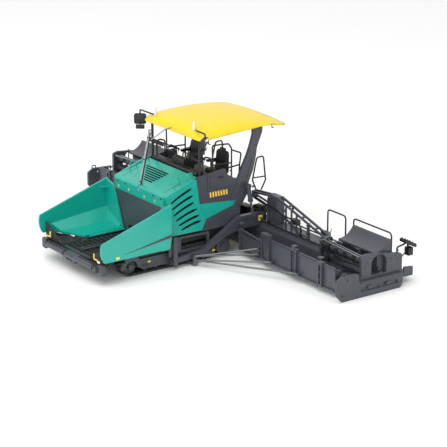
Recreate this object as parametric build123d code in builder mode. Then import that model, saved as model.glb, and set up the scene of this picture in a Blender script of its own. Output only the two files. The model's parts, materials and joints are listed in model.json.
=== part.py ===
from build123d import *

import os
from math import atan2, cos, pi, sin

# A 1:50 scale model of a tracked asphalt paver that carries a very wide screed.
# X points forward, Y to the machine's left and Z up. The origin lies on the
# ground under the middle of the whole model. All sizes are in millimetres.
# Every left-hand piece is drawn at positive Y and mirrored for the right.

# ---------------------------------------------------------------- main sizes
HOUSING_HALF_W = 24.0     # engine housing and platform
MAIN_HALF_W = 84.0        # fixed part of the screed, to each side
WALL_X = 25.2             # front face of the wall behind the hopper
DECK_Z = 33.0             # top of the engine housing

# ---------------------------------------------------------------- tracks
IDLER_X = 47.4            # centre of the front idler
WHEELBASE = 61.0          # idler centre to sprocket centre
TRACK_WIDTH = 7.0
WHEEL_R = 4.0             # inside radius of the track's two bends
BELT_T = 0.7
PAD_T = 0.6
SHOES = 46
PAD_SHARE = 0.82          # share of the pitch that a pad covers
WHEEL_GAP = 0.03          # play between the wheels and the belt

TRACK_OUTER_Y = HOUSING_HALF_W + 0.6
TRACK_INNER_Y = TRACK_OUTER_Y - TRACK_WIDTH
SPROCKET_X = IDLER_X - WHEELBASE
LOOP_R = WHEEL_R + BELT_T
WHEEL_Z = LOOP_R + PAD_T
TRACK_TOP_Z = 2 * WHEEL_Z

ROLLER_R = 1.15
ROLLERS = 7
ROLLER_INSET = 3.0        # from the skirt's rear end to the last roller
AXLE_R = 1.4
SKIRT_T = 1.2             # outer cover of the track frame
SKIRT_Z = (2.6, 8.9)
SKIRT_OUT_Y = TRACK_OUTER_Y + 0.4
SKIRT_Y = SKIRT_OUT_Y - SKIRT_T
FINAL_DRIVE_R = 4.6
GUARD_R = 6.6             # half-round guard over the idler
GUARD_W = 2.8

# ---------------------------------------------------------------- hull
HULL_HALF_W = TRACK_INNER_Y - 1.2
HULL_BOTTOM_Z = 3.4
HOUSING_BOTTOM_Z = 12.0
HOUSING_REAR_X = -25.5
CHASSIS_REAR_X = -20.0
SADDLE_Z = 16.5           # underside of the housing behind the chassis
PANEL_T = 1.4             # skins on the sides of the housing
PANEL_Y = HOUSING_HALF_W + PANEL_T
SCREW_X = (38.0, -8.0)    # display screws in the underside
SCREW_R = 1.25
SCREW_DEPTH = 6.0
WALL_T = 1.2
WALL_TOP_Z = DECK_Z + 1.4
HOUSING_FRONT_X = WALL_X - WALL_T

# ---------------------------------------------------------------- hopper
FLOOR_HALF_W = HULL_HALF_W - 1.4
FLOOR_Z = 10.0            # underside of the hopper floor
FLOOR_T = 0.8
FLOOR_FRONT_X = 66.0
FLOOR_FLARE_X = 49.0      # where the floor starts to widen
FLOOR_FLARE_Y = HOUSING_HALF_W + 5.5
LIP_H = 1.2
APRON_T = 1.2
SLATS = 12
SLAT_STEP = 3.2
SLAT_W = 0.9
LANE_Y = (1.2, FLOOR_HALF_W - 1.4)     # inner and outer edge of a conveyor lane
HINGE_Y = FLOOR_HALF_W + 0.6
HINGE_Z = 12.2
HINGE_TUBE_R = 0.7
HINGE_TUBE_END_X = 48.0
WING_OUT_Y = HOUSING_HALF_W + 8.65     # outer face of a folded-out wing
WING_T = 1.1
WING_IN_Y = WING_OUT_Y - WING_T
WING_REAR_X = WALL_X + 0.4
WING_PANEL_X = WING_REAR_X + WING_T
WING_BOTTOM_Z = 13.8
WING_NOSE_X = 70.6
WING_NOSE_Z = 24.5
WING_TAIL_Z = 38.6
WING_FOOT_Y = HINGE_Y + 11.0           # where the wing's floor turns upwards

# ---------------------------------------------------------------- push rollers
PUSH_X = 70.4             # axis of the push rollers
PUSH_Z = 9.6
PUSH_R = 1.5
PUSH_AXLE_R = 0.6
PUSH_PLAY = 0.12
PUSH_BLOCK_HALF = 6.0
PUSH_END_Y = HOUSING_HALF_W - 0.4      # inner face of the outer bearing posts
PUSH_POST_W = 3.6

# ---------------------------------------------------------------- hood
HOOD_REAR_X = 2.0
HOOD_FRONT_Z = 41.4
HOOD_REAR_Z = 48.2
HOOD_SKIRT_H = 1.4
GROOVES = 7
GROOVE_W = 0.75
GROOVE_DEPTH = 0.7
COVER_T = 2.0             # louvred engine cover on each side
SLOT_W = 1.0
EXHAUST_FOOT = (24.6, -1.0, 38.6)
EXHAUST_TOP = (17.0, -1.0, 72.2)
EXHAUST_R = 0.9

# ---------------------------------------------------------------- platform
FLOOR_PLATE_T = 1.2
PLATFORM_REAR_X = -27.0
PLATE_TOP_Z = DECK_Z + FLOOR_PLATE_T
FRONT_POST_X = 0.6
FRONT_POST_Y = HOUSING_HALF_W - 0.8
FRONT_POST_R = 0.75
RAIL_R = 0.45
RAIL_Y = HOUSING_HALF_W - 1.4
SEAT_Y = 12.6
SEAT_HALF_W = 4.6

# ---------------------------------------------------------------- roof
ROOF_HALF_W = HOUSING_HALF_W + 5.0
ROOF_NOSE_X = 3.6
ROOF_STEP_X = -46.5       # the thin rear part starts here
ROOF_TAIL_X = -53.6
ROOF_T = 1.3
CROWN_Z = 76.8
CROWN_EDGE_Z = CROWN_Z - 3.2
ROOF_FLAT_Z = CROWN_Z - 6.9   # underside of the rim above the front posts
ROOF_PITCH = 0.062        # rise of the rim towards the rear

# ---------------------------------------------------------------- augers
AUGER_X = -27.0
AUGER_Z = 8.4
AUGER_R = 4.0
AUGER_SHAFT_R = 1.0
AUGER_IN_Y = 4.2
AUGER_OUT_Y = MAIN_HALF_W + 27.0
AUGER_PITCH = 7.4
FLIGHT_T = 0.6
BEARING_PLAY = 0.1
TUNNEL_X = -21.2          # front face of the tunnel plates
TUNNEL_T = 1.0
TUNNEL_END_Y = MAIN_HALF_W + 31.5

# ---------------------------------------------------------------- tow arms
TOW_X = 21.7              # tow points, about which the screed floats
TOW_Z = 4.4
ARM_Y = HOUSING_HALF_W + 4.0
ARM_T = 2.6
ARM_REAR_X = -39.4
PIN_R = 0.9
PIN_PLAY = 0.06

# ---------------------------------------------------------------- screed
SCREED_FRONT_X = -33.4
SCREED_REAR_X = -52.0
SCREED_H = 16.6
FRAME_Y = MAIN_HALF_W + 35.6           # inner face of the frame on an end plate
FRAME_T = 1.8
END_PLATE_Y = FRAME_Y + FRAME_T
END_PLATE_T = 1.4
WALK_Z = 8.0
WALK_T = 0.9
WALK_REAR_X = -61.5
TRUSS_X = -41.5
TOWER_Y = (ARM_Y + 3.4, ARM_Y + 12.4)
TUBE_X = -38.5
TUBE_LEVELS = (18.4, 12.6)
TUBE_R = 1.5              # guide tubes of the screed extensions
TUBE_PLAY = 0.06
EXTENSION_REAR_X = -47.2
UNIT_END_Y = FRAME_Y - 0.6             # outer end of the fixed end unit

# ---------------------------------------------------------------- lift cylinders
LIFT_PIN = (-29.0, 38.5)      # X and Z of the pin on the rear post
LIFT_EYE = (-32.0, 22.6)      # X and Z of the rod's end above the tow arm
LIFT_PIN_R = 0.6
LIFT_BOSS_R = 1.5
BARREL_R = 1.3
BARREL_L = 9.3
LIFT_ROD_R = 0.7
LIFT_ROD_L = 8.2
LIFT_ROD_PLAY = 0.05

os.makedirs("parts", exist_ok=True)


# ---------------------------------------------------------------- shared forms
def rounded_face(plane, corners):
    """A flat outline whose corners are given as (across, up, radius)."""
    with BuildSketch(plane) as profile:
        with BuildLine():
            Polyline(*[corner[:2] for corner in corners], close=True)
        make_face()
        for across, up, radius in corners:
            if radius > 0:
                fillet(profile.vertices().sort_by_distance((across, up, 0))[0], radius)
    return profile.sketch


def side_plate(corners, inner_y, thickness, mode=Mode.ADD):
    """A plate cut to an outline in X and Z, standing on inner_y and growing outwards."""
    profile = rounded_face(Plane.XZ.offset(-inner_y), corners)
    extrude(profile, amount=-thickness, mode=mode)


def cross_plate(corners, front_x, thickness, mode=Mode.ADD):
    """A plate cut to an outline in Y and Z, growing backwards from front_x."""
    profile = rounded_face(Plane.YZ.offset(front_x), corners)
    extrude(profile, amount=-thickness, mode=mode)


def flat_plate(corners, bottom_z, thickness, mode=Mode.ADD):
    """A plate cut to an outline in X and Y, growing upwards from bottom_z."""
    profile = rounded_face(Plane.XY.offset(bottom_z), corners)
    extrude(profile, amount=thickness, mode=mode)


def block(x_span, y_span, z_span, mode=Mode.ADD):
    """A plain block between two stations on each axis."""
    with BuildSketch(Plane.XY.offset(z_span[0])) as profile:
        with Locations(((x_span[0] + x_span[1]) / 2, (y_span[0] + y_span[1]) / 2)):
            Rectangle(abs(x_span[1] - x_span[0]), abs(y_span[1] - y_span[0]))
    extrude(profile.sketch, amount=z_span[1] - z_span[0], mode=mode)


def bar(start, end, radius, mode=Mode.ADD):
    """A straight round bar from start to end, or a hole where mode subtracts it."""
    run = Vector(*end) - Vector(*start)
    with BuildSketch(Plane(origin=start, z_dir=run)) as section:
        Circle(radius)
    extrude(section.sketch, amount=run.length, mode=mode)


def flat_bar(start, end, width, depth):
    """A straight bar of rectangular section, its depth lying along X."""
    run = Vector(*end) - Vector(*start)
    with BuildSketch(Plane(origin=start, x_dir=(1, 0, 0), z_dir=run)) as section:
        Rectangle(depth, width)
    extrude(section.sketch, amount=run.length)


def bent_bar(points, bend, radius):
    """A round bar along points, with each corner rounded to the bend."""
    with BuildLine() as route:
        FilletPolyline(*points, radius=bend)
    with BuildSketch(Plane(origin=route.line @ 0, z_dir=route.line % 0)) as section:
        Circle(radius)
    sweep(section.sketch, path=route.line)


def y_disc(x, z, radius, y_span, mode=Mode.ADD):
    """A disc or shaft lying along Y, or a bore along Y where mode subtracts it."""
    with BuildSketch(Plane.XZ.offset(-y_span[0])) as section:
        with Locations((x, z)):
            Circle(radius)
    extrude(section.sketch, amount=-(y_span[1] - y_span[0]), mode=mode)


def y_bore(x, z, radius, y_span):
    """A round hole along Y through what has been built."""
    y_disc(x, z, radius, y_span, Mode.SUBTRACT)


def on_both_sides(y_span):
    """The given span of Y and its mirror image."""
    return (y_span, (-y_span[1], -y_span[0]))


# ---------------------------------------------------------------- tracks
def belt_point(distance, offset):
    """The point of the belt's outer line at a distance, moved outwards by offset."""
    half_turn = pi * LOOP_R
    lap = 2 * WHEELBASE + 2 * half_turn
    at = distance % lap
    radius = LOOP_R + offset
    if at < WHEELBASE:
        return (SPROCKET_X + at, WHEEL_Z - radius, 0)
    if at < WHEELBASE + half_turn:
        turn = (at - WHEELBASE) / LOOP_R - pi / 2
        return (IDLER_X + radius * cos(turn), WHEEL_Z + radius * sin(turn), 0)
    if at < 2 * WHEELBASE + half_turn:
        return (IDLER_X - (at - WHEELBASE - half_turn), WHEEL_Z + radius, 0)
    turn = (at - 2 * WHEELBASE - half_turn) / LOOP_R + pi / 2
    return (SPROCKET_X + radius * cos(turn), WHEEL_Z + radius * sin(turn), 0)


shoe_pitch = (2 * WHEELBASE + 2 * pi * LOOP_R) / SHOES
belt_outline = []
for shoe in range(SHOES):
    heel = shoe * shoe_pitch
    toe = heel + PAD_SHARE * shoe_pitch
    belt_outline += [
        belt_point(heel, 0),
        belt_point(heel, PAD_T),
        belt_point(toe, PAD_T),
        belt_point(toe, 0),
    ]

with BuildPart() as track_left:
    side_plate(belt_outline, TRACK_INNER_Y, TRACK_WIDTH)
    with BuildSketch(Plane.XZ.offset(-TRACK_INNER_Y)):
        with Locations(((IDLER_X + SPROCKET_X) / 2, WHEEL_Z)):
            SlotCenterToCenter(WHEELBASE, 2 * WHEEL_R)
    extrude(amount=-TRACK_WIDTH, mode=Mode.SUBTRACT)

with BuildPart() as track_right:
    mirror(track_left.part, about=Plane.XZ)

BEAM_Z = (BELT_T + PAD_T + 2 * ROLLER_R + 0.3, TRACK_TOP_Z - 2.4)
SKIRT_FRONT_X = IDLER_X - WHEEL_R - 1.0
SKIRT_REAR_X = SPROCKET_X + WHEEL_R + 1.2
roller_step = (SKIRT_FRONT_X - SKIRT_REAR_X - 2 * ROLLER_INSET - 2.0) / (ROLLERS - 1)

with BuildPart() as track_frame_left:
    block((SKIRT_REAR_X, SKIRT_FRONT_X), (HULL_HALF_W, SKIRT_Y), BEAM_Z)
    skirt_outline = [
        (SKIRT_REAR_X, SKIRT_Z[0], 1.2),
        (SKIRT_FRONT_X - 3.0, SKIRT_Z[0], 1.5),
        (SKIRT_FRONT_X, SKIRT_Z[0] + 2.0, 0.6),
        (SKIRT_FRONT_X, SKIRT_Z[1], 0.6),
        (SKIRT_REAR_X, SKIRT_Z[1], 1.2),
    ]
    side_plate(skirt_outline, SKIRT_Y, SKIRT_T)
    # A pocket in the skirt's front end, and a longer one behind it.
    for pocket in ((SKIRT_FRONT_X - 6.6, SKIRT_FRONT_X - 1.4), (SKIRT_REAR_X + 2.6, 4.0)):
        pocket_outline = [
            (pocket[0], SKIRT_Z[0] + 1.8, 0.5),
            (pocket[1], SKIRT_Z[0] + 2.2, 0.5),
            (pocket[1], SKIRT_Z[1] - 1.6, 0.5),
            (pocket[0], SKIRT_Z[1] - 1.6, 0.5),
        ]
        side_plate(pocket_outline, SKIRT_OUT_Y - 0.5, 0.5, Mode.SUBTRACT)
    # The half-round guard over the idler.
    with BuildSketch(Plane.XZ.offset(-TRACK_OUTER_Y - 0.1)):
        with Locations((IDLER_X, WHEEL_Z)):
            Circle(GUARD_R)
            Circle(GUARD_R - GUARD_W, mode=Mode.SUBTRACT)
        with Locations((IDLER_X, WHEEL_Z - 0.5 - GUARD_R)):
            Rectangle(2 * GUARD_R, 2 * GUARD_R, mode=Mode.SUBTRACT)
    extrude(amount=-SKIRT_T)
    # The final drive's cover closes the rear bend of the track.
    y_disc(SPROCKET_X, WHEEL_Z, FINAL_DRIVE_R, (TRACK_OUTER_Y + 0.1, TRACK_OUTER_Y + 1.1))
    y_disc(SPROCKET_X, WHEEL_Z, FINAL_DRIVE_R / 2, (TRACK_OUTER_Y + 1.1, TRACK_OUTER_Y + 1.6))
    # Idler in front and sprocket behind, each on an axle that reaches the hull.
    for wheel_x in (IDLER_X, SPROCKET_X):
        y_disc(wheel_x, WHEEL_Z, WHEEL_R - WHEEL_GAP, (TRACK_INNER_Y + 1.4, SKIRT_Y - 0.6))
        y_disc(wheel_x, WHEEL_Z, AXLE_R, (HULL_HALF_W, TRACK_OUTER_Y + 0.4))
    for arm_span in ((SPROCKET_X, SKIRT_REAR_X), (SKIRT_FRONT_X, IDLER_X)):
        block(arm_span, (TRACK_INNER_Y + 0.4, TRACK_INNER_Y + 1.4), (WHEEL_Z - 0.8, WHEEL_Z + 0.8))
    for index in range(ROLLERS):
        y_disc(
            SKIRT_REAR_X + ROLLER_INSET + index * roller_step,
            BELT_T + PAD_T + ROLLER_R + WHEEL_GAP,
            ROLLER_R,
            (TRACK_INNER_Y + 1.0, SKIRT_Y),
        )

with BuildPart() as track_frame_right:
    mirror(track_frame_left.part, about=Plane.XZ)

# ---------------------------------------------------------------- hull
with BuildPart() as chassis_frame:
    hull_outline = [
        (CHASSIS_REAR_X, HULL_BOTTOM_Z, 1.0),
        (IDLER_X, HULL_BOTTOM_Z, 2.0),
        (FLOOR_FRONT_X, FLOOR_Z - 3.4, 1.0),
        (FLOOR_FRONT_X, FLOOR_Z, 0),
        (HOUSING_FRONT_X, FLOOR_Z, 0),
        (HOUSING_FRONT_X, HOUSING_BOTTOM_Z, 0),
        (CHASSIS_REAR_X, HOUSING_BOTTOM_Z, 0),
    ]
    side_plate(hull_outline, -HULL_HALF_W, 2 * HULL_HALF_W)
    with BuildSketch(Plane.XY.offset(HULL_BOTTOM_Z)):
        with Locations(*[(x, 0) for x in SCREW_X]):
            Circle(SCREW_R)
    extrude(amount=SCREW_DEPTH, mode=Mode.SUBTRACT)

with BuildPart() as engine_housing:
    housing_outline = [
        (CHASSIS_REAR_X, HOUSING_BOTTOM_Z, 0),
        (HOUSING_FRONT_X, HOUSING_BOTTOM_Z, 0),
        (HOUSING_FRONT_X, DECK_Z, 0),
        (HOUSING_REAR_X, DECK_Z, 0),
        (HOUSING_REAR_X, SADDLE_Z, 0),
        (CHASSIS_REAR_X, SADDLE_Z, 0),
    ]
    side_plate(housing_outline, -HOUSING_HALF_W, 2 * HOUSING_HALF_W)
    # Two doors, each sunk a little into the rear face beside the ladder.
    for door_y in on_both_sides((7.6, HOUSING_HALF_W - 2.4)):
        door_outline = [
            (door_y[0], SADDLE_Z + 2.4, 1.0),
            (door_y[1], SADDLE_Z + 2.4, 1.0),
            (door_y[1], DECK_Z - 2.0, 1.0),
            (door_y[0], DECK_Z - 2.0, 1.0),
        ]
        cross_plate(door_outline, HOUSING_REAR_X + 0.5, 0.5, Mode.SUBTRACT)

GATE_Y = (1.8, 11.4)      # openings above the two conveyor lanes
GATE_Z = (HINGE_Z - 0.9, HINGE_Z + 3.7)
with BuildPart() as hopper_rear_wall:
    wall_outline = [
        (-HOUSING_HALF_W, HINGE_Z, 0),
        (HOUSING_HALF_W, HINGE_Z, 0),
        (HOUSING_HALF_W, WALL_TOP_Z, 0),
        (-HOUSING_HALF_W, WALL_TOP_Z, 0),
    ]
    cross_plate(wall_outline, WALL_X, WALL_T)
    block((HOUSING_FRONT_X, WALL_X), (-FLOOR_HALF_W, FLOOR_HALF_W), (FLOOR_Z, HINGE_Z))
    for gate_y in on_both_sides(GATE_Y):
        block((HOUSING_FRONT_X, WALL_X), gate_y, GATE_Z, Mode.SUBTRACT)

# ---------------------------------------------------------------- hopper
with BuildPart() as hopper_floor:
    floor_outline = [
        (WALL_X, -FLOOR_HALF_W, 0),
        (FLOOR_FLARE_X, -FLOOR_HALF_W, 0),
        (FLOOR_FRONT_X, -FLOOR_FLARE_Y, 0),
        (FLOOR_FRONT_X, FLOOR_FLARE_Y, 0),
        (FLOOR_FLARE_X, FLOOR_HALF_W, 0),
        (WALL_X, FLOOR_HALF_W, 0),
    ]
    flat_plate(floor_outline, FLOOR_Z, FLOOR_T)
    # A lip along each flared edge keeps the mix off the tracks.
    for side in (-1, 1):
        lip_outline = [
            (FLOOR_FLARE_X + 1.0, side * FLOOR_HALF_W, 0),
            (FLOOR_FRONT_X, side * (FLOOR_FLARE_Y - 1.4), 0),
            (FLOOR_FRONT_X, side * FLOOR_FLARE_Y, 0),
            (FLOOR_FLARE_X, side * FLOOR_HALF_W, 0),
        ]
        flat_plate(lip_outline, FLOOR_Z + FLOOR_T, LIP_H)

BED_Z = FLOOR_Z + FLOOR_T
with BuildPart() as conveyor:
    for lane_y in on_both_sides(LANE_Y):
        block((WALL_X, FLOOR_FRONT_X - 2.0), lane_y, (BED_Z, BED_Z + 0.3))
        for index in range(SLATS):
            slat_x = WALL_X + 1.8 + index * SLAT_STEP
            block((slat_x, slat_x + SLAT_W), lane_y, (BED_Z + 0.3, BED_Z + 0.8))
    # The cover between the two chains has a ridge along its middle.
    ridge_outline = [
        (-LANE_Y[0], BED_Z, 0),
        (LANE_Y[0], BED_Z, 0),
        (LANE_Y[0], BED_Z + 0.6, 0),
        (0.0, BED_Z + 1.4, 0),
        (-LANE_Y[0], BED_Z + 0.6, 0),
    ]
    cross_plate(ridge_outline, FLOOR_FRONT_X - 2.0, FLOOR_FRONT_X - 2.0 - WALL_X)

APRON_Z = (7.0, 10.9, 12.6)     # bottom, middle of the top edge and its two ends
with BuildPart() as hopper_apron:
    with BuildSketch(Plane.YZ.offset(FLOOR_FRONT_X + APRON_T)):
        with BuildLine():
            edge_y = FLOOR_FLARE_Y - 5.0
            ThreePointArc((-edge_y, APRON_Z[2]), (0.0, APRON_Z[1]), (edge_y, APRON_Z[2]))
            Polyline(
                (edge_y, APRON_Z[2]),
                (FLOOR_FLARE_Y, APRON_Z[2] + 0.8),
                (FLOOR_FLARE_Y, APRON_Z[0]),
                (-FLOOR_FLARE_Y, APRON_Z[0]),
                (-FLOOR_FLARE_Y, APRON_Z[2] + 0.8),
                (-edge_y, APRON_Z[2]),
            )
        make_face()
    extrude(amount=-APRON_T)

# X station, height of the fold in the wing's side and end of its floor
FOOT_STATIONS = ((WING_REAR_X, 22.2), (64.0, 18.4))
with BuildPart() as hopper_wing_left:
    # The floor rises gently from its hinge and folds up into the side.
    for station_x, fold_z in FOOT_STATIONS:
        with BuildSketch(Plane.YZ.offset(station_x)):
            with BuildLine():
                Polyline(
                    (HINGE_Y, HINGE_Z),
                    (WING_IN_Y, WING_BOTTOM_Z),
                    (WING_IN_Y, fold_z),
                    (WING_FOOT_Y, WING_BOTTOM_Z + 0.9),
                    (HINGE_Y, HINGE_Z + WING_T),
                    close=True,
                )
            make_face()
    loft(ruled=True)
    bar((WING_REAR_X - 0.1, HINGE_Y, HINGE_Z), (HINGE_TUBE_END_X, HINGE_Y, HINGE_Z), HINGE_TUBE_R)
    # Seen from above, the floor ends along a slanting edge.
    slant_outline = [
        (FLOOR_FLARE_X + 2.4, HINGE_Y, 0),
        (FLOOR_FLARE_X + 2.4, HINGE_Y - 1.0, 0),
        (WING_NOSE_X, HINGE_Y - 1.0, 0),
        (WING_NOSE_X, WING_IN_Y, 0),
        (FOOT_STATIONS[1][0] - 0.5, WING_IN_Y, 0),
    ]
    flat_plate(slant_outline, HINGE_Z - 1.0, WING_TAIL_Z - HINGE_Z, Mode.SUBTRACT)
    # The side, whose front edge bows outwards a little.
    with BuildSketch(Plane.XZ.offset(-WING_IN_Y)) as wing_side:
        with BuildLine():
            nose_foot = (WING_NOSE_X - 1.9, WING_BOTTOM_Z)
            nose_head = (WING_NOSE_X - 0.4, WING_NOSE_Z)
            ThreePointArc(nose_foot, (WING_NOSE_X + 0.2, WING_BOTTOM_Z + 5.8), nose_head)
            Polyline(
                nose_head,
                (WING_REAR_X, WING_TAIL_Z),
                (WING_REAR_X, WING_BOTTOM_Z + 6.4),
                (WING_REAR_X + 1.2, WING_BOTTOM_Z),
                nose_foot,
            )
        make_face()
        for corner in (nose_foot, nose_head, (WING_REAR_X + 1.2, WING_BOTTOM_Z)):
            fillet(wing_side.vertices().sort_by_distance((*corner, 0))[0], 1.1)
    extrude(amount=-WING_T)
    # The rear panel turns inwards and closes the wing towards the machine.
    rear_outline = [
        (HINGE_Y, HINGE_Z + WING_T, 0),
        (WING_IN_Y, WING_BOTTOM_Z + WING_T, 0),
        (WING_IN_Y, WING_TAIL_Z - 0.5, 0),
        (HINGE_Y + 8.8, WING_TAIL_Z - 2.6, 0.8),
    ]
    cross_plate(rear_outline, WING_PANEL_X, WING_T)
    # A slanting facet fills the corner between that panel and the floor.
    for facet_y, facet_x, facet_z in ((HINGE_Y + 1.6, 1.4, 2.4), (WING_IN_Y, 4.6, 8.6)):
        with BuildSketch(Plane.XZ.offset(-facet_y)):
            with BuildLine():
                base_z = HINGE_Z + 0.8
                Polyline(
                    (WING_PANEL_X - 0.2, base_z),
                    (WING_PANEL_X + facet_x, base_z),
                    (WING_PANEL_X - 0.2, base_z + facet_z),
                    close=True,
                )
            make_face()
    loft(ruled=True)
    gusset_outline = [
        (WING_PANEL_X - 0.2, WING_IN_Y + 0.2, 0),
        (WING_PANEL_X + 5.6, WING_IN_Y + 0.2, 0),
        (WING_PANEL_X - 0.2, WING_IN_Y - 2.8, 0),
    ]
    flat_plate(gusset_outline, WING_TAIL_Z - 5.2, 0.6)

with BuildPart() as hopper_wing_right:
    mirror(hopper_wing_left.part, about=Plane.XZ)

# ---------------------------------------------------------------- push rollers
BEAM_X = (FLOOR_FRONT_X + APRON_T, PUSH_X - PUSH_R - 0.3)
POST_OUT_Y = PUSH_END_Y + PUSH_POST_W
with BuildPart() as push_beam:
    block(BEAM_X, (-POST_OUT_Y, POST_OUT_Y), (PUSH_Z - 1.0, PUSH_Z + 0.9))
    centre_outline = [
        (BEAM_X[0], PUSH_Z - 3.1, 0.8),
        (PUSH_X + 0.9, PUSH_Z - 2.6, 0.8),
        (PUSH_X + 0.9, PUSH_Z + 0.8, 0.8),
        (BEAM_X[0], PUSH_Z + 1.2, 0),
    ]
    side_plate(centre_outline, -PUSH_BLOCK_HALF, 2 * PUSH_BLOCK_HALF)
    with BuildSketch(Plane.YZ.offset(PUSH_X + 0.9)):
        with Locations((0, PUSH_Z - 1.9)):
            SlotOverall(6.4, 1.0)
    extrude(amount=-0.8, mode=Mode.SUBTRACT)
    for post_y in on_both_sides((PUSH_END_Y, POST_OUT_Y)):
        post_outline = [
            (BEAM_X[0], PUSH_Z - 1.9, 0.4),
            (PUSH_X + 0.9, PUSH_Z - 1.9, 0.8),
            (PUSH_X + 0.9, PUSH_Z + 0.8, 0.8),
            (BEAM_X[0], PUSH_Z + 0.9, 0),
        ]
        side_plate(post_outline, post_y[0], PUSH_POST_W)
    # Taller posts at the beam's ends carry the corners of the hopper.
    for corner_y in on_both_sides((POST_OUT_Y - 0.2, POST_OUT_Y + 3.8)):
        corner_outline = [
            (BEAM_X[0], PUSH_Z - 3.4, 0.4),
            (BEAM_X[0] + 2.6, PUSH_Z - 3.4, 0.4),
            (BEAM_X[0] + 2.6, PUSH_Z + 2.2, 1.0),
            (BEAM_X[0], PUSH_Z + 2.2, 0.4),
        ]
        side_plate(corner_outline, corner_y[0], 4.0)
    y_bore(PUSH_X, PUSH_Z, PUSH_AXLE_R + PUSH_PLAY / 2, (-PUSH_END_Y - 2.0, PUSH_END_Y + 2.0))

with BuildPart() as push_roller_left:
    y_disc(PUSH_X, PUSH_Z, PUSH_R, (PUSH_BLOCK_HALF + PUSH_PLAY, PUSH_END_Y - PUSH_PLAY))
    y_disc(PUSH_X, PUSH_Z, PUSH_AXLE_R, (PUSH_BLOCK_HALF - 2.0, PUSH_END_Y + 1.8))

with BuildPart() as push_roller_right:
    mirror(push_roller_left.part, about=Plane.XZ)

# ---------------------------------------------------------------- hood and covers
HOOD_HEAD_X = WALL_X - 1.0
hood_slope = atan2(HOOD_REAR_Z - HOOD_FRONT_Z, HOOD_HEAD_X - HOOD_REAR_X)
hood_top = Plane(
    origin=(HOOD_HEAD_X, 0, HOOD_FRONT_Z),
    x_dir=(0, 1, 0),
    z_dir=(sin(hood_slope), 0, cos(hood_slope)),
)
# distance up the slope and the two ends in Y of the first and the last groove
GROOVE_FIRST = (5.6, -4.9, 3.8)
GROOVE_LAST = (16.2, -17.3, 4.7)
SEAM_Y = HOUSING_HALF_W - 3.7     # joints in the hood's top skin

with BuildPart() as hood:
    hood_outline = [
        (HOOD_REAR_X, DECK_Z + HOOD_SKIRT_H, 0),
        (WALL_X, DECK_Z + HOOD_SKIRT_H, 0),
        (WALL_X, HOOD_FRONT_Z - 0.6, 1.2),
        (HOOD_HEAD_X, HOOD_FRONT_Z, 0.8),
        (HOOD_REAR_X, HOOD_REAR_Z, 0.6),
    ]
    side_plate(hood_outline, -HOUSING_HALF_W, 2 * HOUSING_HALF_W)
    block(
        (HOOD_REAR_X, HOUSING_FRONT_X),
        (-HOUSING_HALF_W, HOUSING_HALF_W),
        (DECK_Z, DECK_Z + HOOD_SKIRT_H),
    )
    # Cooling grooves grow longer towards the rear.
    with BuildSketch(hood_top):
        for index in range(GROOVES):
            share = index / (GROOVES - 1)
            up, right, left = [a + share * (b - a) for a, b in zip(GROOVE_FIRST, GROOVE_LAST)]
            with Locations(((left + right) / 2, up)):
                SlotOverall(left - right, GROOVE_W)
        for seam_y in (-SEAM_Y, SEAM_Y):
            with Locations((seam_y, 7.0)):
                SlotOverall(12.0, 0.4, rotation=90)
    extrude(amount=-GROOVE_DEPTH, mode=Mode.SUBTRACT)
    bar(EXHAUST_FOOT, EXHAUST_TOP, EXHAUST_R, Mode.SUBTRACT)

# The seam where the engine covers meet the panels behind them.
SEAM_TOP = (4.6, 47.2)
SEAM_DECK = (2.6, DECK_Z)
SEAM_STRIP = (-1.6, 23.4)
SEAM_FOOT = (1.2, 17.8)
COVER_FRONT = (21.0, 18.0)
# Front and rear end of each cooling slot
SLOTS = (
    ((21.2, 37.0), (8.4, 42.8)),
    ((20.5, 33.4), (7.6, 38.7)),
    ((19.3, 29.7), (6.9, 34.7)),
    ((17.8, 26.5), (4.8, 30.7)),
    ((15.9, 23.4), (3.4, 26.8)),
    ((14.3, 20.6), (2.2, 23.4)),
)
SLOT_BOW = (-0.25, 0.6)   # how far the middle of a slot lies off its straight line
with BuildPart() as side_covers:
    with BuildSketch(Plane.XZ.offset(-HOUSING_HALF_W)) as cover_face:
        with BuildLine():
            Polyline(
                COVER_FRONT,
                (WALL_X - 0.2, HOOD_FRONT_Z - 0.4),
                (7.8, 47.2),
                SEAM_TOP,
                SEAM_DECK,
                SEAM_STRIP,
                SEAM_FOOT,
                close=True,
            )
        make_face()
        for corner in (COVER_FRONT, SEAM_STRIP, SEAM_FOOT, (WALL_X - 0.2, HOOD_FRONT_Z - 0.4)):
            fillet(cover_face.vertices().sort_by_distance((*corner, 0))[0], 1.0)
        for front, rear in SLOTS:
            middle = (
                (front[0] + rear[0]) / 2 + SLOT_BOW[0],
                (front[1] + rear[1]) / 2 + SLOT_BOW[1],
            )
            with BuildLine():
                arc = ThreePointArc(front, middle, rear)
            SlotArc(arc, SLOT_W, mode=Mode.SUBTRACT)
    extrude(amount=-COVER_T)
    mirror(about=Plane.XZ)

STRIP_TAIL = ((-22.6, 30.8), (-22.6, 28.9))
STRIP_KNEE = (-14.5, 26.9)
POST_FOOT_X = -18.6
foot_share = (SEAM_DECK[0] - POST_FOOT_X) / (SEAM_DECK[0] - STRIP_TAIL[0][0])
POST_FOOT_Z = SEAM_DECK[1] + foot_share * (STRIP_TAIL[0][1] - SEAM_DECK[1])
with BuildPart() as rear_strips:
    strip_outline = [
        (*SEAM_DECK, 0),
        (*SEAM_STRIP, 0),
        (*STRIP_KNEE, 4.0),
        (*STRIP_TAIL[1], 0),
        (*STRIP_TAIL[0], 0),
    ]
    side_plate(strip_outline, HOUSING_HALF_W, PANEL_T)
    mirror(about=Plane.XZ)

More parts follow.
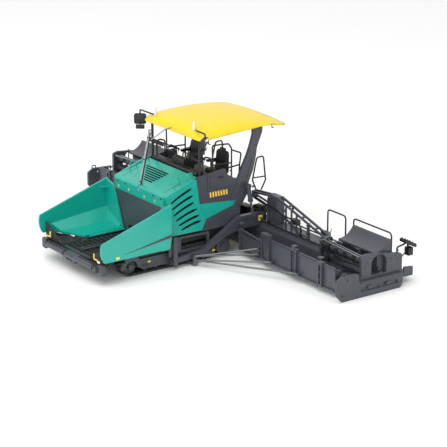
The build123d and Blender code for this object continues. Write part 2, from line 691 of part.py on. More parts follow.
PANEL_BOTTOM_Z = 17.0
REAR_PANEL_X = -25.4
PANEL_TOP_Z = 26.4
with BuildPart() as lower_panels:
    lower_outline = [
        (*SEAM_STRIP, 0),
        (*SEAM_FOOT, 0),
        (SEAM_FOOT[0], PANEL_BOTTOM_Z, 0),
        (CHASSIS_REAR_X, PANEL_BOTTOM_Z, 1.5),
        (REAR_PANEL_X, 20.6, 1.0),
        (REAR_PANEL_X, PANEL_TOP_Z, 0),
        (*STRIP_TAIL[1], 0),
        (*STRIP_KNEE, 4.0),
    ]
    side_plate(lower_outline, HOUSING_HALF_W, PANEL_T)
    # A round-cornered hatch pressed into the panel.
    hatch_outline = [
        (-4.0, PANEL_BOTTOM_Z + 1.4, 1.2),
        (-17.0, PANEL_BOTTOM_Z + 1.4, 1.2),
        (-17.0, PANEL_BOTTOM_Z + 7.4, 1.2),
        (-4.0, PANEL_BOTTOM_Z + 4.6, 1.2),
    ]
    side_plate(hatch_outline, PANEL_Y - 0.3, 0.3, Mode.SUBTRACT)
    mirror(about=Plane.XZ)

# ---------------------------------------------------------------- platform
with BuildPart() as platform_floor:
    block(
        (PLATFORM_REAR_X, HOOD_REAR_X),
        (-HOUSING_HALF_W, HOUSING_HALF_W),
        (DECK_Z, PLATE_TOP_Z),
    )

POST_KNEE = (-26.6, 49.5)
SIDE_REAR_Z = 43.4
side_share = (SIDE_REAR_Z - POST_FOOT_Z) / (POST_KNEE[1] - POST_FOOT_Z)
side_rear_x = POST_FOOT_X + side_share * (POST_KNEE[0] - POST_FOOT_X)
SIDE_SEAM_X = -2.8
with BuildPart() as platform_sides:
    side_outline = [
        (*SEAM_DECK, 0),
        (*SEAM_TOP, 0),
        (4.5, 48.2, 0.6),
        (-3.0, 49.1, 0),
        (-15.3, 50.6, 1.2),
        (-16.3, 47.1, 1.6),
        (-21.4, 43.8, 1.2),
        (side_rear_x, SIDE_REAR_Z, 0),
        (POST_FOOT_X, POST_FOOT_Z, 0),
    ]
    side_plate(side_outline, HOUSING_HALF_W, PANEL_T)
    # The joint behind the front plate, the sunk field for stripes and a raised door.
    block(
        (SIDE_SEAM_X - 0.35, SIDE_SEAM_X),
        (PANEL_Y - 0.5, PANEL_Y),
        (DECK_Z + 5.6, DECK_Z + 18.0),
        Mode.SUBTRACT,
    )
    stripe_field = [
        (-3.4, 35.0, 0.4),
        (-17.6, 35.0, 0.4),
        (-19.2, 38.6, 0.4),
        (-4.4, 38.6, 0.4),
    ]
    side_plate(stripe_field, PANEL_Y - 0.3, 0.3, Mode.SUBTRACT)
    door_outline = [
        (-5.0, 40.2, 1.2),
        (-18.6, 40.2, 1.2),
        (-20.4, 43.0, 1.2),
        (-14.6, 46.6, 1.6),
        (-5.0, 47.2, 1.2),
    ]
    side_plate(door_outline, PANEL_Y, 0.4)
    mirror(about=Plane.XZ)


def roof_under(x):
    """Height of the underside of the roof's rim at a station along X."""
    return ROOF_FLAT_Z + (FRONT_POST_X - x) * ROOF_PITCH


POST_T = PANEL_T + 0.4
POST_HEAD_X = (-33.8, -40.4)
with BuildPart() as rear_posts:
    post_outline = [
        (POST_FOOT_X, POST_FOOT_Z, 0),
        (*POST_KNEE, 3.0),
        (-29.5, 54.9, 3.0),
        (-31.5, 59.6, 4.0),
        (-33.9, 66.8, 3.0),
        (POST_HEAD_X[0], roof_under(POST_HEAD_X[0]), 0),
        (POST_HEAD_X[1], roof_under(POST_HEAD_X[1]), 0),
        (-40.2, 67.6, 3.0),
        (-36.6, 59.3, 5.0),
        (-36.0, 54.6, 2.0),
        (-34.0, 46.5, 3.0),
        (-30.6, 39.0, 2.5),
        (-31.2, 35.0, 2.0),
        (-25.6, 26.6, 1.0),
        (*STRIP_TAIL[1], 0),
        (*STRIP_TAIL[0], 0),
    ]
    side_plate(post_outline, HOUSING_HALF_W, POST_T)
    # A pressed channel runs up the middle of the post.
    channel_outline = [
        (-23.6, 34.4, 0.6),
        (-28.6, 46.4, 0),
        (-32.2, 54.0, 0.4),
        (-33.6, 54.0, 0.4),
        (-31.4, 46.4, 0),
        (-27.0, 34.4, 0.6),
    ]
    side_plate(channel_outline, HOUSING_HALF_W + POST_T - 0.4, 0.4, Mode.SUBTRACT)
    y_bore(LIFT_PIN[0], LIFT_PIN[1], LIFT_PIN_R + LIFT_ROD_PLAY, (HOUSING_HALF_W - 1.0, ARM_Y))
    mirror(about=Plane.XZ)

with BuildPart() as front_posts:
    bar(
        (FRONT_POST_X, FRONT_POST_Y, PLATE_TOP_Z),
        (FRONT_POST_X, FRONT_POST_Y, roof_under(FRONT_POST_X) - 0.05),
        FRONT_POST_R,
    )
    mirror(about=Plane.XZ)

RIM_DEPTH = 12.0          # how far the roof's hollow is cut down past its rim


def roof_form(inset):
    """The roof's outer form, or the hollow below it where the form is set in."""
    with BuildPart() as form:
        with BuildSketch(Plane.XZ.offset(-ROOF_HALF_W)) as side:
            with BuildLine():
                brow = (ROOF_NOSE_X - 6.1, CROWN_Z - 1.4 - inset)
                ridge = (ROOF_STEP_X + inset, CROWN_Z - 1.5 - inset)
                nose = (ROOF_NOSE_X - inset, ROOF_FLAT_Z - 1.4)
                chin = (ROOF_NOSE_X - inset - 1.2, nose[1])
                ThreePointArc(nose, (ROOF_NOSE_X - inset - 1.2, CROWN_Z - 4.0 - inset), brow)
                ThreePointArc(brow, (-22.0, CROWN_Z - inset), ridge)
                if inset:
                    Polyline(
                        ridge,
                        (ridge[0], ROOF_FLAT_Z - RIM_DEPTH),
                        (nose[0], ROOF_FLAT_Z - RIM_DEPTH),
                        nose,
                    )
                else:
                    Polyline(
                        ridge,
                        (ROOF_STEP_X, roof_under(ROOF_STEP_X) + 1.3),
                        (ROOF_TAIL_X, roof_under(ROOF_STEP_X) + 0.3),
                        (ROOF_TAIL_X, roof_under(ROOF_STEP_X) - 0.9),
                        (ROOF_STEP_X, roof_under(ROOF_STEP_X)),
                        (ROOF_NOSE_X - 2.0, roof_under(ROOF_NOSE_X - 2.0)),
                        chin,
                        nose,
                    )
            make_face()
        extrude(side.sketch, amount=2 * ROOF_HALF_W)
        half_w = ROOF_HALF_W - 0.8 * inset
        with BuildSketch(Plane.YZ.offset(ROOF_TAIL_X)) as crown:
            with BuildLine():
                edge_z = CROWN_EDGE_Z - inset
                ThreePointArc((-half_w, edge_z), (0.0, CROWN_Z - inset), (half_w, edge_z))
                Polyline(
                    (half_w, edge_z),
                    (half_w, ROOF_FLAT_Z - RIM_DEPTH),
                    (-half_w, ROOF_FLAT_Z - RIM_DEPTH),
                    (-half_w, edge_z),
                )
            make_face()
            for side_y in (-half_w, half_w):
                fillet(crown.vertices().sort_by_distance((side_y, edge_z, 0))[0], 1.5)
        extrude(crown.sketch, amount=ROOF_NOSE_X - ROOF_TAIL_X, mode=Mode.INTERSECT)
        plan = rounded_face(
            Plane.XY.offset(ROOF_FLAT_Z - RIM_DEPTH),
            [
                (ROOF_NOSE_X - inset, -half_w, 5.0 - inset),
                (ROOF_NOSE_X - inset, half_w, 5.0 - inset),
                (ROOF_TAIL_X, half_w, 2.5),
                (ROOF_TAIL_X, -half_w, 2.5),
            ],
        )
        extrude(plan, amount=CROWN_Z - ROOF_FLAT_Z + RIM_DEPTH, mode=Mode.INTERSECT)
    return form.part


with BuildPart() as roof_hollow:
    add(roof_form(ROOF_T))
    # Pads are left standing inside the roof where it rests on its posts.
    for pad_y in on_both_sides((HOUSING_HALF_W - 0.6, HOUSING_HALF_W + POST_T + 0.6)):
        block(
            (POST_HEAD_X[1] - 1.0, POST_HEAD_X[0] + 1.0),
            pad_y,
            (ROOF_FLAT_Z - RIM_DEPTH, CROWN_Z),
            Mode.SUBTRACT,
        )
    for pad_y in on_both_sides((FRONT_POST_Y - 1.4, FRONT_POST_Y + 1.4)):
        block(
            (FRONT_POST_X - 1.6, FRONT_POST_X + 1.4),
            pad_y,
            (ROOF_FLAT_Z - RIM_DEPTH, CROWN_Z),
            Mode.SUBTRACT,
        )
    # So is a rib across the middle.
    block((-21.0, -19.6), (-ROOF_HALF_W, ROOF_HALF_W), (ROOF_FLAT_Z + 3.0, CROWN_Z), Mode.SUBTRACT)

with BuildPart() as roof:
    add(roof_form(0))
    add(roof_hollow.part, mode=Mode.SUBTRACT)

DESK_HALF_W = 5.4
RIM_HALF_W = HOUSING_HALF_W - 2.2
with BuildPart() as control_console:
    block((-1.6, -0.2), (-RIM_HALF_W, RIM_HALF_W), (PLATE_TOP_Z, HOOD_REAR_Z))
    # A thick rolled edge above the hood.
    edge_outline = [
        (-2.6, HOOD_REAR_Z - 0.6, 0.8),
        (1.8, HOOD_REAR_Z - 0.6, 0.8),
        (1.8, HOOD_REAR_Z + 1.5, 1.0),
        (-2.6, HOOD_REAR_Z + 1.9, 1.0),
    ]
    side_plate(edge_outline, -RIM_HALF_W, 2 * RIM_HALF_W)
    desk_outline = [
        (-1.0, PLATE_TOP_Z, 0),
        (-1.0, HOOD_REAR_Z + 4.6, 1.0),
        (-3.0, HOOD_REAR_Z + 5.6, 1.0),
        (-9.4, HOOD_REAR_Z + 2.4, 1.0),
        (-8.6, HOOD_REAR_Z + 0.4, 0.8),
        (-5.2, HOOD_REAR_Z - 1.6, 1.5),
        (-4.6, PLATE_TOP_Z, 0),
    ]
    side_plate(desk_outline, -DESK_HALF_W, 2 * DESK_HALF_W)

CUSHION_Z = (43.8, 47.4)
SEAT_TOP_Z = 57.2
with BuildPart() as seat_left:
    seat_outline = [
        (-14.0, CUSHION_Z[0], 1.2),
        (-13.6, CUSHION_Z[1] - 0.4, 1.4),
        (-20.6, CUSHION_Z[1] - 1.0, 1.2),
        (-21.6, SEAT_TOP_Z - 0.4, 1.0),
        (-23.8, SEAT_TOP_Z, 1.0),
        (-23.4, CUSHION_Z[0], 1.6),
    ]
    side_plate(seat_outline, SEAT_Y - SEAT_HALF_W, 2 * SEAT_HALF_W)
    seat_front = rounded_face(
        Plane.YZ.offset(-24.0),
        [
            (SEAT_Y - SEAT_HALF_W, CUSHION_Z[0], 1.0),
            (SEAT_Y + SEAT_HALF_W, CUSHION_Z[0], 1.0),
            (SEAT_Y + SEAT_HALF_W, SEAT_TOP_Z, 2.6),
            (SEAT_Y - SEAT_HALF_W, SEAT_TOP_Z, 2.6),
        ],
    )
    extrude(seat_front, amount=11.0, mode=Mode.INTERSECT)
    bar((-18.6, SEAT_Y, PLATE_TOP_Z), (-18.6, SEAT_Y, CUSHION_Z[0] + 0.4), 2.6)
    bar((-18.6, SEAT_Y, PLATE_TOP_Z), (-18.6, SEAT_Y, PLATE_TOP_Z + 1.0), 3.6)
    for arm_y in (SEAT_Y - SEAT_HALF_W - 0.7, SEAT_Y + SEAT_HALF_W - 0.5):
        armrest = [
            (-14.8, 50.0, 0.6),
            (-14.8, 51.4, 0.6),
            (-22.4, 51.4, 0.6),
            (-22.4, 50.0, 0.6),
        ]
        side_plate(armrest, arm_y, 1.2)

with BuildPart() as seat_right:
    mirror(seat_left.part, about=Plane.XZ)

with BuildPart() as platform_rails:
    bent_bar(
        [
            (-1.9, RAIL_Y, PLATE_TOP_Z),
            (-1.9, RAIL_Y, 58.6),
            (-7.4, RAIL_Y, 57.0),
            (-7.4, RAIL_Y, PLATE_TOP_Z),
        ],
        1.8,
        RAIL_R,
    )
    bent_bar(
        [
            (-9.0, RAIL_Y, PLATE_TOP_Z),
            (-8.4, RAIL_Y, 64.0),
            (-19.4, RAIL_Y, 63.2),
            (-21.4, RAIL_Y, 60.4),
            (-21.4, RAIL_Y, PLATE_TOP_Z),
        ],
        1.2,
        RAIL_R,
    )
    bent_bar(
        [
            (-21.4, RAIL_Y, 59.4),
            (-28.0, RAIL_Y, 56.6),
            (-26.9, RAIL_Y, 50.2),
            (-26.0, RAIL_Y, PLATE_TOP_Z),
        ],
        1.6,
        RAIL_R,
    )
    bar((-18.4, RAIL_Y, 49.4), (-26.9, RAIL_Y, 50.0), RAIL_R)
    bar((-9.0, RAIL_Y, 52.6), (-21.4, RAIL_Y, 52.0), RAIL_R)
    mirror(about=Plane.XZ)

MIRROR_CENTRE = (3.0, ROOF_HALF_W + 3.0, CROWN_EDGE_Z - 4.4)
MIRROR_TURN = 50.0        # each mirror's back faces forward and inwards
MIRROR_SIZE = (7.0, 6.0, 0.8)
ARM_ROOT = (0.8, 20.0, CROWN_EDGE_Z)
ARM_RISE = (1.4, 0.8)     # above its root at the nose, and above the mirror
with BuildPart() as mirrors:
    turn = MIRROR_TURN * pi / 180
    mirror_plane = Plane(
        origin=MIRROR_CENTRE,
        x_dir=(sin(turn), cos(turn), 0),
        z_dir=(cos(turn), -sin(turn), 0),
    )
    with BuildSketch(mirror_plane):
        RectangleRounded(MIRROR_SIZE[0], MIRROR_SIZE[1], 1.2)
    extrude(amount=MIRROR_SIZE[2], both=True)
    bent_bar(
        [
            ARM_ROOT,
            (ROOF_NOSE_X + 0.4, ROOF_HALF_W - 2.0, CROWN_EDGE_Z + ARM_RISE[0]),
            (MIRROR_CENTRE[0], MIRROR_CENTRE[1], CROWN_EDGE_Z + ARM_RISE[1]),
            (MIRROR_CENTRE[0], MIRROR_CENTRE[1], MIRROR_CENTRE[2]),
        ],
        0.9,
        0.45,
    )
    mirror(about=Plane.XZ)
    add(roof.part, mode=Mode.SUBTRACT)

LAMP_STAND = 1.4          # how far the lamps stand over the crown
with BuildPart() as work_lamps:
    for lamp_y in (-19.0, 19.0):
        bar((1.2, lamp_y, CROWN_EDGE_Z - 0.6), (1.2, lamp_y, CROWN_Z + LAMP_STAND), 0.8)
    add(roof.part, mode=Mode.SUBTRACT)
    add(mirrors.part, mode=Mode.SUBTRACT)

with BuildPart() as exhaust_pipe:
    bar(EXHAUST_FOOT, EXHAUST_TOP, EXHAUST_R)

LADDER_HALF_W = 5.4
LADDER_STILE_W = 0.8
LADDER_D = 2.6            # how far the ladder stands behind the housing
LADDER_FOOT_Z = 15.0
LADDER_STEP = 5.2
LADDER_TREADS = 3
TREAD_T = 0.8
with BuildPart() as rear_ladder:
    ladder_x = (HOUSING_REAR_X - LADDER_D, HOUSING_REAR_X)
    for stile_y in on_both_sides((LADDER_HALF_W - LADDER_STILE_W, LADDER_HALF_W)):
        stile_outline = [
            (ladder_x[1], LADDER_FOOT_Z + 1.6, 0),
            (ladder_x[0], LADDER_FOOT_Z, 0.8),
            (ladder_x[0], DECK_Z - 1.0, 1.2),
            (ladder_x[1], DECK_Z, 0),
        ]
        side_plate(stile_outline, stile_y[0], LADDER_STILE_W)
    for index in range(LADDER_TREADS):
        tread_z = LADDER_FOOT_Z + 2.0 + index * LADDER_STEP
        block(ladder_x, (-LADDER_HALF_W, LADDER_HALF_W), (tread_z, tread_z + TREAD_T))

# ---------------------------------------------------------------- levelling gear
GUIDE_TOP_Z = 17.6
GUIDE_Y = (SKIRT_OUT_Y + 0.1, ARM_Y - ARM_T / 2 - 0.5)
KEEPER_Y = (ARM_Y + ARM_T / 2 + 0.5, ARM_Y + ARM_T / 2 + 1.3)
COLUMN_X = TOW_X + 2.1
BRACKET_T = 1.0
with BuildPart() as levelling_cylinders:
    # The tow arm's front end moves between a guide and a keeper outside it.
    block((TOW_X - 1.3, TOW_X + 1.3), GUIDE_Y, (TOW_Z - 2.7, GUIDE_TOP_Z))
    block((TOW_X - 1.3, TOW_X + 1.3), (HOUSING_HALF_W, GUIDE_Y[0]), (12.4, GUIDE_TOP_Z))
    keeper_outline = [
        (TOW_X - 1.3, TOW_Z - 2.7, 0.6),
        (TOW_X + 1.3, TOW_Z - 2.7, 0.6),
        (TOW_X + 1.3, GUIDE_TOP_Z + 1.1, 0.6),
        (TOW_X - 1.3, GUIDE_TOP_Z + 1.1, 0.6),
    ]
    side_plate(keeper_outline, KEEPER_Y[0], KEEPER_Y[1] - KEEPER_Y[0])
    block((TOW_X - 1.3, TOW_X + 1.3), (GUIDE_Y[0], KEEPER_Y[1]), (GUIDE_TOP_Z - 2.4, GUIDE_TOP_Z))
    bar((COLUMN_X, ARM_Y, TOW_Z + 3.0), (COLUMN_X, ARM_Y, GUIDE_TOP_Z + 2.6), 1.1)
    y_disc(TOW_X, TOW_Z, PIN_R, (GUIDE_Y[0], KEEPER_Y[1]))
    # The bracket behind it is a plate with a large window.
    bracket_outline = [
        (-3.8, 7.4, 1.2),
        (TOW_X - 1.3, 7.4, 0),
        (TOW_X - 1.3, 16.8, 0),
        (-3.8, 16.4, 1.2),
    ]
    side_plate(bracket_outline, GUIDE_Y[0], BRACKET_T)
    window_outline = [
        (-2.4, 8.8, 1.0),
        (15.2, 8.8, 1.0),
        (15.2, 15.6, 1.0),
        (-2.4, 15.0, 1.0),
    ]
    side_plate(window_outline, GUIDE_Y[0], BRACKET_T, Mode.SUBTRACT)
    for foot_x in (-3.4, 16.0):
        block((foot_x, foot_x + 1.0), (HOUSING_HALF_W, GUIDE_Y[0]), (12.4, 15.6))
    mirror(about=Plane.XZ)

# ---------------------------------------------------------------- augers and tunnel
CARRIER_X = TUNNEL_X - TUNNEL_T
CARRIER_T = 1.0
CARRIER_TOP_Z = 13.8
BEARING_X = (AUGER_X - 2.0, CARRIER_X - CARRIER_T)
with BuildPart() as auger_carrier:
    block(
        (CARRIER_X - CARRIER_T, CARRIER_X),
        (-TUNNEL_END_Y, TUNNEL_END_Y),
        (12.6, CARRIER_TOP_Z),
    )
    block((CARRIER_X - 0.4, CHASSIS_REAR_X), (-HULL_HALF_W, HULL_HALF_W), (5.0, CARRIER_TOP_Z))
    bearing_outline = [
        (BEARING_X[0], AUGER_Z - 2.4, 1.6),
        (BEARING_X[1], AUGER_Z - 2.4, 0.6),
        (BEARING_X[1], CARRIER_TOP_Z, 0),
        (BEARING_X[0] + 1.6, CARRIER_TOP_Z, 1.0),
        (BEARING_X[0], AUGER_Z + 2.4, 1.0),
    ]
    side_plate(bearing_outline, 0.2 - AUGER_IN_Y, 2 * (AUGER_IN_Y - 0.2))
    for end_y in on_both_sides((AUGER_OUT_Y + 0.3, AUGER_OUT_Y + 2.3)):
        side_plate(bearing_outline, end_y[0], 2.0)
    y_bore(AUGER_X, AUGER_Z, AUGER_SHAFT_R + BEARING_PLAY, (-TUNNEL_END_Y, TUNNEL_END_Y))

FLIGHT_SPAN = (AUGER_IN_Y + 0.9, AUGER_OUT_Y - 0.6)
with BuildPart() as auger_left:
    # The flight is one strip wound around the shaft.
    with BuildLine():
        winding = Helix(
            AUGER_PITCH,
            FLIGHT_SPAN[1] - FLIGHT_SPAN[0],
            (AUGER_R + AUGER_SHAFT_R) / 2 - 0.2,
            center=(AUGER_X, FLIGHT_SPAN[0], AUGER_Z),
            direction=(0, 1, 0),
        )
    outward = (winding @ 0) - Vector(AUGER_X, FLIGHT_SPAN[0], AUGER_Z)
    with BuildSketch(Plane(origin=winding @ 0, x_dir=outward, z_dir=winding % 0)):
        Rectangle(AUGER_R - AUGER_SHAFT_R + 0.4, FLIGHT_T)
    sweep(is_frenet=True)
    y_disc(AUGER_X, AUGER_Z, AUGER_SHAFT_R, (AUGER_IN_Y - 1.8, AUGER_OUT_Y + 1.8))

with BuildPart() as auger_right:
    mirror(auger_left.part, about=Plane.XZ)

# station Y, half width and top Z of each upright of the auger tunnel
TUNNEL_POSTS = (
    (ARM_Y + 4.6, 0.8, 16.6),
    (ARM_Y + 28.0, 3.6, 19.6),
    (MAIN_HALF_W - 3.0, 2.6, 18.0),
    (MAIN_HALF_W + 20.0, 1.8, 17.2),
)
TUNNEL_BOTTOM_Z = 3.4
TUNNEL_IN_Y = ARM_Y + 3.9
TUNNEL_STEP_Y = ARM_Y + 24.4
with BuildPart() as tunnel_plates:
    panel_outline = [
        (TUNNEL_IN_Y, TUNNEL_BOTTOM_Z, 0),
        (TUNNEL_END_Y, TUNNEL_BOTTOM_Z, 1.0),
        (TUNNEL_END_Y, 16.4, 1.0),
        (TUNNEL_STEP_Y, 16.8, 0),
        (TUNNEL_STEP_Y, 13.0, 0),
        (TUNNEL_IN_Y, 13.0, 0),
    ]
    cross_plate(panel_outline, TUNNEL_X, TUNNEL_T)
    # Folded rails run along the foot and the head of the panels.
    block(
        (TUNNEL_X - 0.2, TUNNEL_X + 0.6),
        (TUNNEL_STEP_Y, TUNNEL_END_Y),
        (15.2, 16.0),
    )
    block(
        (TUNNEL_X - 0.2, TUNNEL_X + 0.9),
        (TUNNEL_IN_Y, TUNNEL_END_Y),
        (TUNNEL_BOTTOM_Z, TUNNEL_BOTTOM_Z + 0.8),
    )
    for post_y, half, top_z in TUNNEL_POSTS:
        block(
            (TUNNEL_X - TUNNEL_T, TUNNEL_X + 1.5),
            (post_y - half, post_y + half),
            (TUNNEL_BOTTOM_Z, top_z),
        )
        if half > 1.5:
            block(
                (TUNNEL_X + 0.5, TUNNEL_X + 1.5),
                (post_y - half + 0.9, post_y + half - 0.9),
                (TUNNEL_BOTTOM_Z + 1.4, top_z - 1.2),
                Mode.SUBTRACT,
            )
    # Two sloping rails close the step beside the tow arm.
    inner_y = TUNNEL_POSTS[0][0]
    outer_y = TUNNEL_POSTS[1][0] - TUNNEL_POSTS[1][1]
    for rail_x, drop in ((TUNNEL_X + 0.8, 0.0), (TUNNEL_X - 0.3, 0.9)):
        flat_bar(
            (rail_x, inner_y, 16.2 - drop),
            (rail_x, outer_y + 0.4, 14.2 - drop),
            0.8,
            0.8,
        )
    mirror(about=Plane.XZ)

ROD_R = 0.5
ROD_JOINT_X = 9.2
ROD_JOINT_Y = KEEPER_Y[1] + 0.1
# height at the joint, Y and Z of the far end of each tie rod
ROD_ENDS = (
    (5.7, ARM_Y + 22.8, 9.8),
    (5.7, ARM_Y + 22.8, 6.6),
    (3.5, ARM_Y + 34.4, 5.1),
    (3.5, MAIN_HALF_W + 1.6, 5.1),
)
with BuildPart() as tie_rods:
    block((7.8, 10.6), (SKIRT_OUT_Y + 0.1, ROD_JOINT_Y + 1.0), (0.8, 2.3))
    block((7.8, 10.6), (SKIRT_OUT_Y, SKIRT_OUT_Y + 0.9), (0.8, 7.0))
    riser_outline = [
        (7.8, 0.8, 0),
        (10.6, 0.8, 0),
        (10.6, 6.6, 1.2),
        (7.8, 6.6, 1.2),
    ]
    side_plate(riser_outline, ROD_JOINT_Y - 0.4, 1.4)
    for joint_z, end_y, end_z in ROD_ENDS:
        bar((ROD_JOINT_X, ROD_JOINT_Y + 0.6, joint_z), (TUNNEL_X + 1.0, end_y, end_z), ROD_R)
        lug_outline = [
            (TUNNEL_X, end_z - 0.8, 0),
            (TUNNEL_X + 2.6, end_z - 0.8, 0.7),
            (TUNNEL_X + 2.6, end_z + 0.8, 0.7),
            (TUNNEL_X, end_z + 0.8, 0),
        ]
        side_plate(lug_outline, end_y - 0.9, 1.8)
    mirror(about=Plane.XZ)

# ---------------------------------------------------------------- tow arms
with BuildPart() as tow_arms:
    arm_outline = [
        (TOW_X + 1.6, TOW_Z - 1.3, 1.3),
        (TOW_X + 1.6, TOW_Z + 1.8, 1.3),
        (TOW_X - 4.0, TOW_Z + 2.0, 2.0),
        (2.8, 7.8, 6.0),
        (-9.2, 14.6, 8.0),
        (-21.6, 22.2, 6.0),
        (ARM_REAR_X, 22.2, 1.0),
        (ARM_REAR_X, 14.6, 1.0),
        (-23.0, 14.7, 4.0),
        (-13.4, 12.6, 6.0),
        (3.4, 4.0, 8.0),
        (TOW_X - 4.0, TOW_Z - 0.9, 2.0),
    ]
    side_plate(arm_outline, ARM_Y - ARM_T / 2, ARM_T)
    # A rounded pocket lightens the arm's high rear part.
    for pocket_y in (ARM_Y - ARM_T / 2, ARM_Y + ARM_T / 2 - 0.4):
        pocket_outline = [
            (-24.0, 20.4, 1.0),
            (-31.6, 20.6, 1.0),
            (-31.6, 16.4, 1.0),
            (-24.0, 16.4, 1.0),
        ]
        side_plate(pocket_outline, pocket_y, 0.4, Mode.SUBTRACT)
    y_bore(TOW_X, TOW_Z, PIN_R + PIN_PLAY, (ARM_Y - ARM_T, ARM_Y + ARM_T))
    mirror(about=Plane.XZ)

# ---------------------------------------------------------------- screed
SECTION_Y = (ARM_Y + 4.0, ARM_Y + 26.0)     # joints between the screed's sections
with BuildPart() as screed_main:
    screed_section = [
        (SCREED_FRONT_X, 0.0, 0.8),
        (SCREED_FRONT_X, 3.6, 0.6),
        (SCREED_FRONT_X - 2.2, 5.0, 0.6),
        (SCREED_FRONT_X - 2.8, 13.6, 1.6),
        (SCREED_FRONT_X - 5.0, SCREED_H, 1.2),
        (SCREED_REAR_X + 4.0, SCREED_H, 2.0),
        (SCREED_REAR_X, 11.0, 1.6),
        (SCREED_REAR_X, 0.0, 0.8),
    ]
    side_plate(screed_section, -MAIN_HALF_W, 2 * MAIN_HALF_W)
    for arm_y in on_both_sides((ARM_Y - ARM_T / 2, ARM_Y + ARM_T / 2)):
        block((ARM_REAR_X, SCREED_FRONT_X + 1.0), arm_y, (14.6, SCREED_H + 1.0), Mode.SUBTRACT)
    for joint_y in SECTION_Y:
        for groove_y in on_both_sides((joint_y, joint_y + 0.4)):
            block(
                (SCREED_REAR_X, SCREED_FRONT_X),
                groove_y,
                (SCREED_H - 0.5, SCREED_H),
                Mode.SUBTRACT,
            )
            block(
                (SCREED_REAR_X, SCREED_REAR_X + 0.5),
                groove_y,
                (0.0, SCREED_H),
                Mode.SUBTRACT,
            )

with BuildPart() as screed_walkway:
    block((WALK_REAR_X, SCREED_REAR_X), (-MAIN_HALF_W, MAIN_HALF_W), (WALK_Z, WALK_Z + WALK_T))
    walk_lip = [
        (WALK_REAR_X, WALK_Z - 1.0, 0),
        (WALK_REAR_X + 0.7, WALK_Z - 1.0, 0),
        (WALK_REAR_X + 0.7, WALK_Z + WALK_T, 0),
        (WALK_REAR_X, WALK_Z + WALK_T, 0),
    ]
    side_plate(walk_lip, -MAIN_HALF_W, 2 * MAIN_HALF_W)

TOWER_TOP_Z = 32.6
TOWER_PLATE_T = 1.2
RAIL_PAIR_X = (TRUSS_X + 1.0, TRUSS_X - 2.4)
TRUSS_END_Y = MAIN_HALF_W - 1.0
TRUSS_END_Z = 20.6
# Y and Z of the lower rail's joints
LOWER_RAIL = (
    (TOWER_Y[1] - 1.0, 26.4),
    (TOWER_Y[1] + 6.6, 22.4),
    (TOWER_Y[1] + 16.4, 19.2),
    (TOWER_Y[1] + 20.0, SCREED_H - 0.2),
)
top_fall = (TOWER_TOP_Z - 0.4 - TRUSS_END_Z) / (TRUSS_END_Y - TOWER_Y[1])


def top_rail_z(y):
    """Height of the truss's top rails at a station along Y."""
    return TRUSS_END_Z + (TRUSS_END_Y - y) * top_fall


with BuildPart() as screed_trusses:
    tower_outline = [
        (TRUSS_X - 3.6, SCREED_H, 0),
        (TRUSS_X + 1.8, SCREED_H, 0),
        (TRUSS_X + 1.8, TOWER_TOP_Z - 2.4, 1.2),
        (TRUSS_X + 0.4, TOWER_TOP_Z, 1.0),
        (TRUSS_X - 3.6, TOWER_TOP_Z, 1.0),
    ]
    for plate_y in (TOWER_Y[0], TOWER_Y[1] - TOWER_PLATE_T):
        side_plate(tower_outline, plate_y, TOWER_PLATE_T)
    tower_web = [
        (TOWER_Y[0], SCREED_H, 0),
        (TOWER_Y[1], SCREED_H, 0),
        (TOWER_Y[1], TOWER_TOP_Z - 1.0, 0.5),
        (TOWER_Y[0], TOWER_TOP_Z - 1.0, 0.5),
    ]
    cross_plate(tower_web, TRUSS_X + 0.9, 1.0)
    block((TRUSS_X - 3.6, TRUSS_X + 0.4), TOWER_Y, (TOWER_TOP_Z - 1.4, TOWER_TOP_Z - 0.2))
    # Two pairs of rails run along the screed, the outer ones falling away.
    for rail_x in RAIL_PAIR_X:
        flat_bar((rail_x, 16.4, 30.4), (rail_x, TOWER_Y[0] + 0.6, TOWER_TOP_Z - 0.8), 1.1, 0.9)
        flat_bar((rail_x, 16.4, 27.6), (rail_x, TOWER_Y[0] + 0.6, 25.2), 0.9, 0.9)
        flat_bar(
            (rail_x, TOWER_Y[1] - 0.6, top_rail_z(TOWER_Y[1] - 0.6)),
            (rail_x, TRUSS_END_Y - 0.6, TRUSS_END_Z),
            1.1,
            0.9,
        )
    rail_x = RAIL_PAIR_X[0]
    for start, end in zip(LOWER_RAIL, LOWER_RAIL[1:]):
        flat_bar((rail_x, *start), (rail_x, *end), 1.2, 0.9)
    block((RAIL_PAIR_X[1], rail_x), (16.0, 17.4), (26.8, 31.0))
    # Posts and cross pieces tie the rails together.
    for post_y in (TOWER_Y[1] + 7.4, TOWER_Y[1] + 12.4, TOWER_Y[1] + 17.0, TOWER_Y[1] + 28.0):
        block(
            (rail_x - 0.4, rail_x + 0.4),
            (post_y - 0.4, post_y + 0.4),
            (SCREED_H - 0.1, top_rail_z(post_y)),
        )
    for tie_y in (TOWER_Y[1] + 9.0, TOWER_Y[1] + 21.0, TOWER_Y[1] + 33.0):
        tie_z = top_rail_z(tie_y)
        block((RAIL_PAIR_X[1], rail_x), (tie_y - 0.5, tie_y + 0.5), (tie_z - 0.4, tie_z + 0.4))
    end_outline = [
        (TRUSS_X - 3.2, SCREED_H, 0),
        (TRUSS_X + 1.8, SCREED_H, 0),
        (TRUSS_X + 1.8, TRUSS_END_Z + 0.6, 1.2),
        (TRUSS_X - 3.2, TRUSS_END_Z + 0.6, 1.2),
    ]
    side_plate(end_outline, TRUSS_END_Y - 2.0, 3.0)
    block((SCREED_REAR_X, SCREED_FRONT_X), (0.0, MAIN_HALF_W), (0.0, SCREED_H), Mode.SUBTRACT)
    mirror(about=Plane.XZ)

